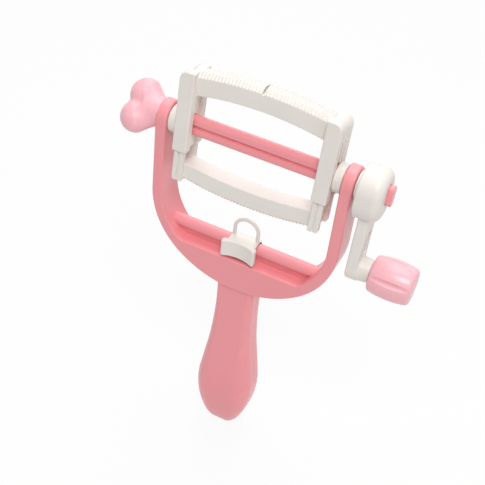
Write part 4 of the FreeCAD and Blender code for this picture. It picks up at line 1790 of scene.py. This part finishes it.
@dataclass
class Studio:
    """Pale floor, soft lamps and the camera.

    Args:
        yaw: Turn of the camera about Z, in degrees.
        pitch: How far it looks down, in degrees.
        roll: Roll of the camera, in degrees.
        spot: Place of the camera, in metres.
        lens: Focal length, in millimetres.
        sensor: Width of the frame that it belongs to.
        floor_half: Half width of the floor, in metres.
        floor_gap: How far the floor lies under the part, in metres.
        floor_colour: Colour of the floor, linear.
        floor_roughness: Its roughness.
        floor_glow: Share of plain white that straight and mirrored rays see in it.
        daylight: Strength of the light that comes from all round.
        aim: Point that the lamps face.
        lamps: The lamps.
    """

    yaw: float = 21.6
    pitch: float = 40.16
    roll: float = 7.33
    spot: tuple[float, float, float] = (0.1335, -0.341, 0.440)
    lens: float = 71.14
    sensor: float = 36.0
    floor_half: float = 6.0
    floor_gap: float = 0.0005
    floor_colour: Colour = (0.82, 0.82, 0.81)
    floor_roughness: float = 0.85
    floor_glow: float = 0.9
    daylight: float = 0.33
    aim: tuple[float, float, float] = (0.0, 0.0, 0.15)
    lamps: tuple[Lamp, ...] = (Lamp("key_lamp", (0.29, -0.62, 1.25), 0.45, 8.3),
                               Lamp("top_lamp", (-0.1, 0.3, 1.3), 0.8, 6.4),
                               Lamp("back_lamp", (-0.35, 0.9, 0.9), 0.9, 2.8),
                               Lamp("side_lamp", (1.0, -0.25, 0.5), 0.7, 1.0))

    def camera(self) -> None:
        """Sets the camera at the photograph's angle."""
        yaw, pitch, roll = (math.radians(value) for value in (self.yaw, self.pitch, self.roll))
        level = math.cos(pitch)
        ahead = Vector((-math.sin(yaw) * level, math.cos(yaw) * level, -math.sin(pitch)))
        right = Vector((math.cos(yaw), math.sin(yaw), 0.0))
        up = right.cross(ahead)
        side = right * math.cos(roll) + up * math.sin(roll)
        over = up * math.cos(roll) - right * math.sin(roll)
        data = bpy.data.cameras.new("camera")
        data.lens = self.lens
        data.sensor_width = self.sensor
        data.clip_start = 0.01
        data.clip_end = 20.0
        rig = bpy.data.objects.new("camera", data)
        turn = Matrix((side, over, -ahead)).transposed().to_4x4()
        rig.matrix_world = Matrix.Translation(self.spot) @ turn
        bpy.context.scene.collection.objects.link(rig)
        bpy.context.scene.camera = rig

    @staticmethod
    def seen_rays(tree: bpy.types.NodeTree) -> bpy.types.NodeSocket:
        """Marks the rays that see the background: straight, mirrored or through clear plastic.

        Args:
            tree: Node tree that takes the nodes.

        Returns:
            A socket that is 1 for such rays and 0 for the others.
        """
        path = added(tree, "LightPath")
        total = path.outputs["Is Camera Ray"]
        for kind in ("Is Glossy Ray", "Is Transmission Ray"):
            either = added(tree, "Math")
            either.operation = "MAXIMUM"
            tree.links.new(total, either.inputs[0])
            tree.links.new(path.outputs[kind], either.inputs[1])
            total = either.outputs["Value"]
        return total

    @staticmethod
    def mixed(tree: bpy.types.NodeTree, share: bpy.types.NodeSocket, usual: bpy.types.NodeSocket,
              seen: bpy.types.NodeSocket, out: bpy.types.Node) -> None:
        """Mixes two shaders into an output.

        Args:
            tree: Node tree of them all.
            share: Share of the second shader.
            usual: The first shader, which the light on the object comes from.
            seen: The second shader, which the background shows.
            out: The output node.
        """
        mix = added(tree, "MixShader")
        tree.links.new(share, mix.inputs["Fac"])
        tree.links.new(usual, mix.inputs[1])
        tree.links.new(seen, mix.inputs[2])
        tree.links.new(mix.outputs["Shader"], out.inputs["Surface"])

    def floor(self) -> None:
        """Lays a plain pale floor that keeps the object's shadow."""
        plate = bmesh.new()
        bmesh.ops.create_grid(plate, x_segments=1, y_segments=1, size=self.floor_half)
        mesh = bpy.data.meshes.new("floor")
        plate.to_mesh(mesh)
        plate.free()
        ground = bpy.data.objects.new("floor", mesh)
        ground.location.z = -self.floor_gap
        bpy.context.scene.collection.objects.link(ground)
        material, tree, shader = blank("pale_floor")
        shader.inputs["Base Color"].default_value = (*self.floor_colour, 1.0)
        shader.inputs["Roughness"].default_value = self.floor_roughness
        glow = added(tree, "Emission", Strength=1.0)
        share = added(tree, "Math")
        share.operation = "MULTIPLY"
        share.inputs[1].default_value = self.floor_glow
        tree.links.new(self.seen_rays(tree), share.inputs[0])
        self.mixed(tree, share.outputs["Value"], shader.outputs["BSDF"], glow.outputs["Emission"],
                   tree.nodes["Material Output"])
        mesh.materials.append(material)

    def light(self) -> None:
        """Sets the lamps, the world and the plain view settings."""
        for lamp in self.lamps:
            lamp.hang(Vector(self.aim))
        world = bpy.data.worlds.new("studio")
        world.use_nodes = True
        tree = world.node_tree
        plain = tree.nodes["Background"]
        plain.inputs["Color"].default_value = (1.0, 1.0, 1.0, 1.0)
        plain.inputs["Strength"].default_value = self.daylight
        white = added(tree, "Background", Color=(1.0, 1.0, 1.0, 1.0), Strength=1.0)
        self.mixed(tree, self.seen_rays(tree), plain.outputs["Background"],
                   white.outputs["Background"], tree.nodes["World Output"])
        bpy.context.scene.world = world
        bpy.context.scene.view_settings.view_transform = "Standard"


def main() -> None:
    """Builds the winder piece by piece."""
    logging.basicConfig(level=logging.INFO, format="%(name)s: %(message)s")
    studio = Studio()
    studio.camera()
    finishes = Finishes.build()
    Yoke().build(finishes)
    Handle().build(finishes)
    Bushes().build(finishes)
    shaft = ShaftSet()
    shaft.build_shaft(finishes)
    shaft.build_heart(finishes)
    form = WindingForm()
    form.build_upper(finishes)
    form.build_lower(finishes)
    crank = Crank()
    crank.build_hub(finishes)
    crank.build_arm(finishes)
    CrankKnob().build(finishes)
    guide = SlidingGuide()
    guide.build_slider(finishes)
    guide.build_eye(finishes)
    studio.floor()
    studio.light()
    log.info("boxes written")


if __name__ == "__main__":
    main()
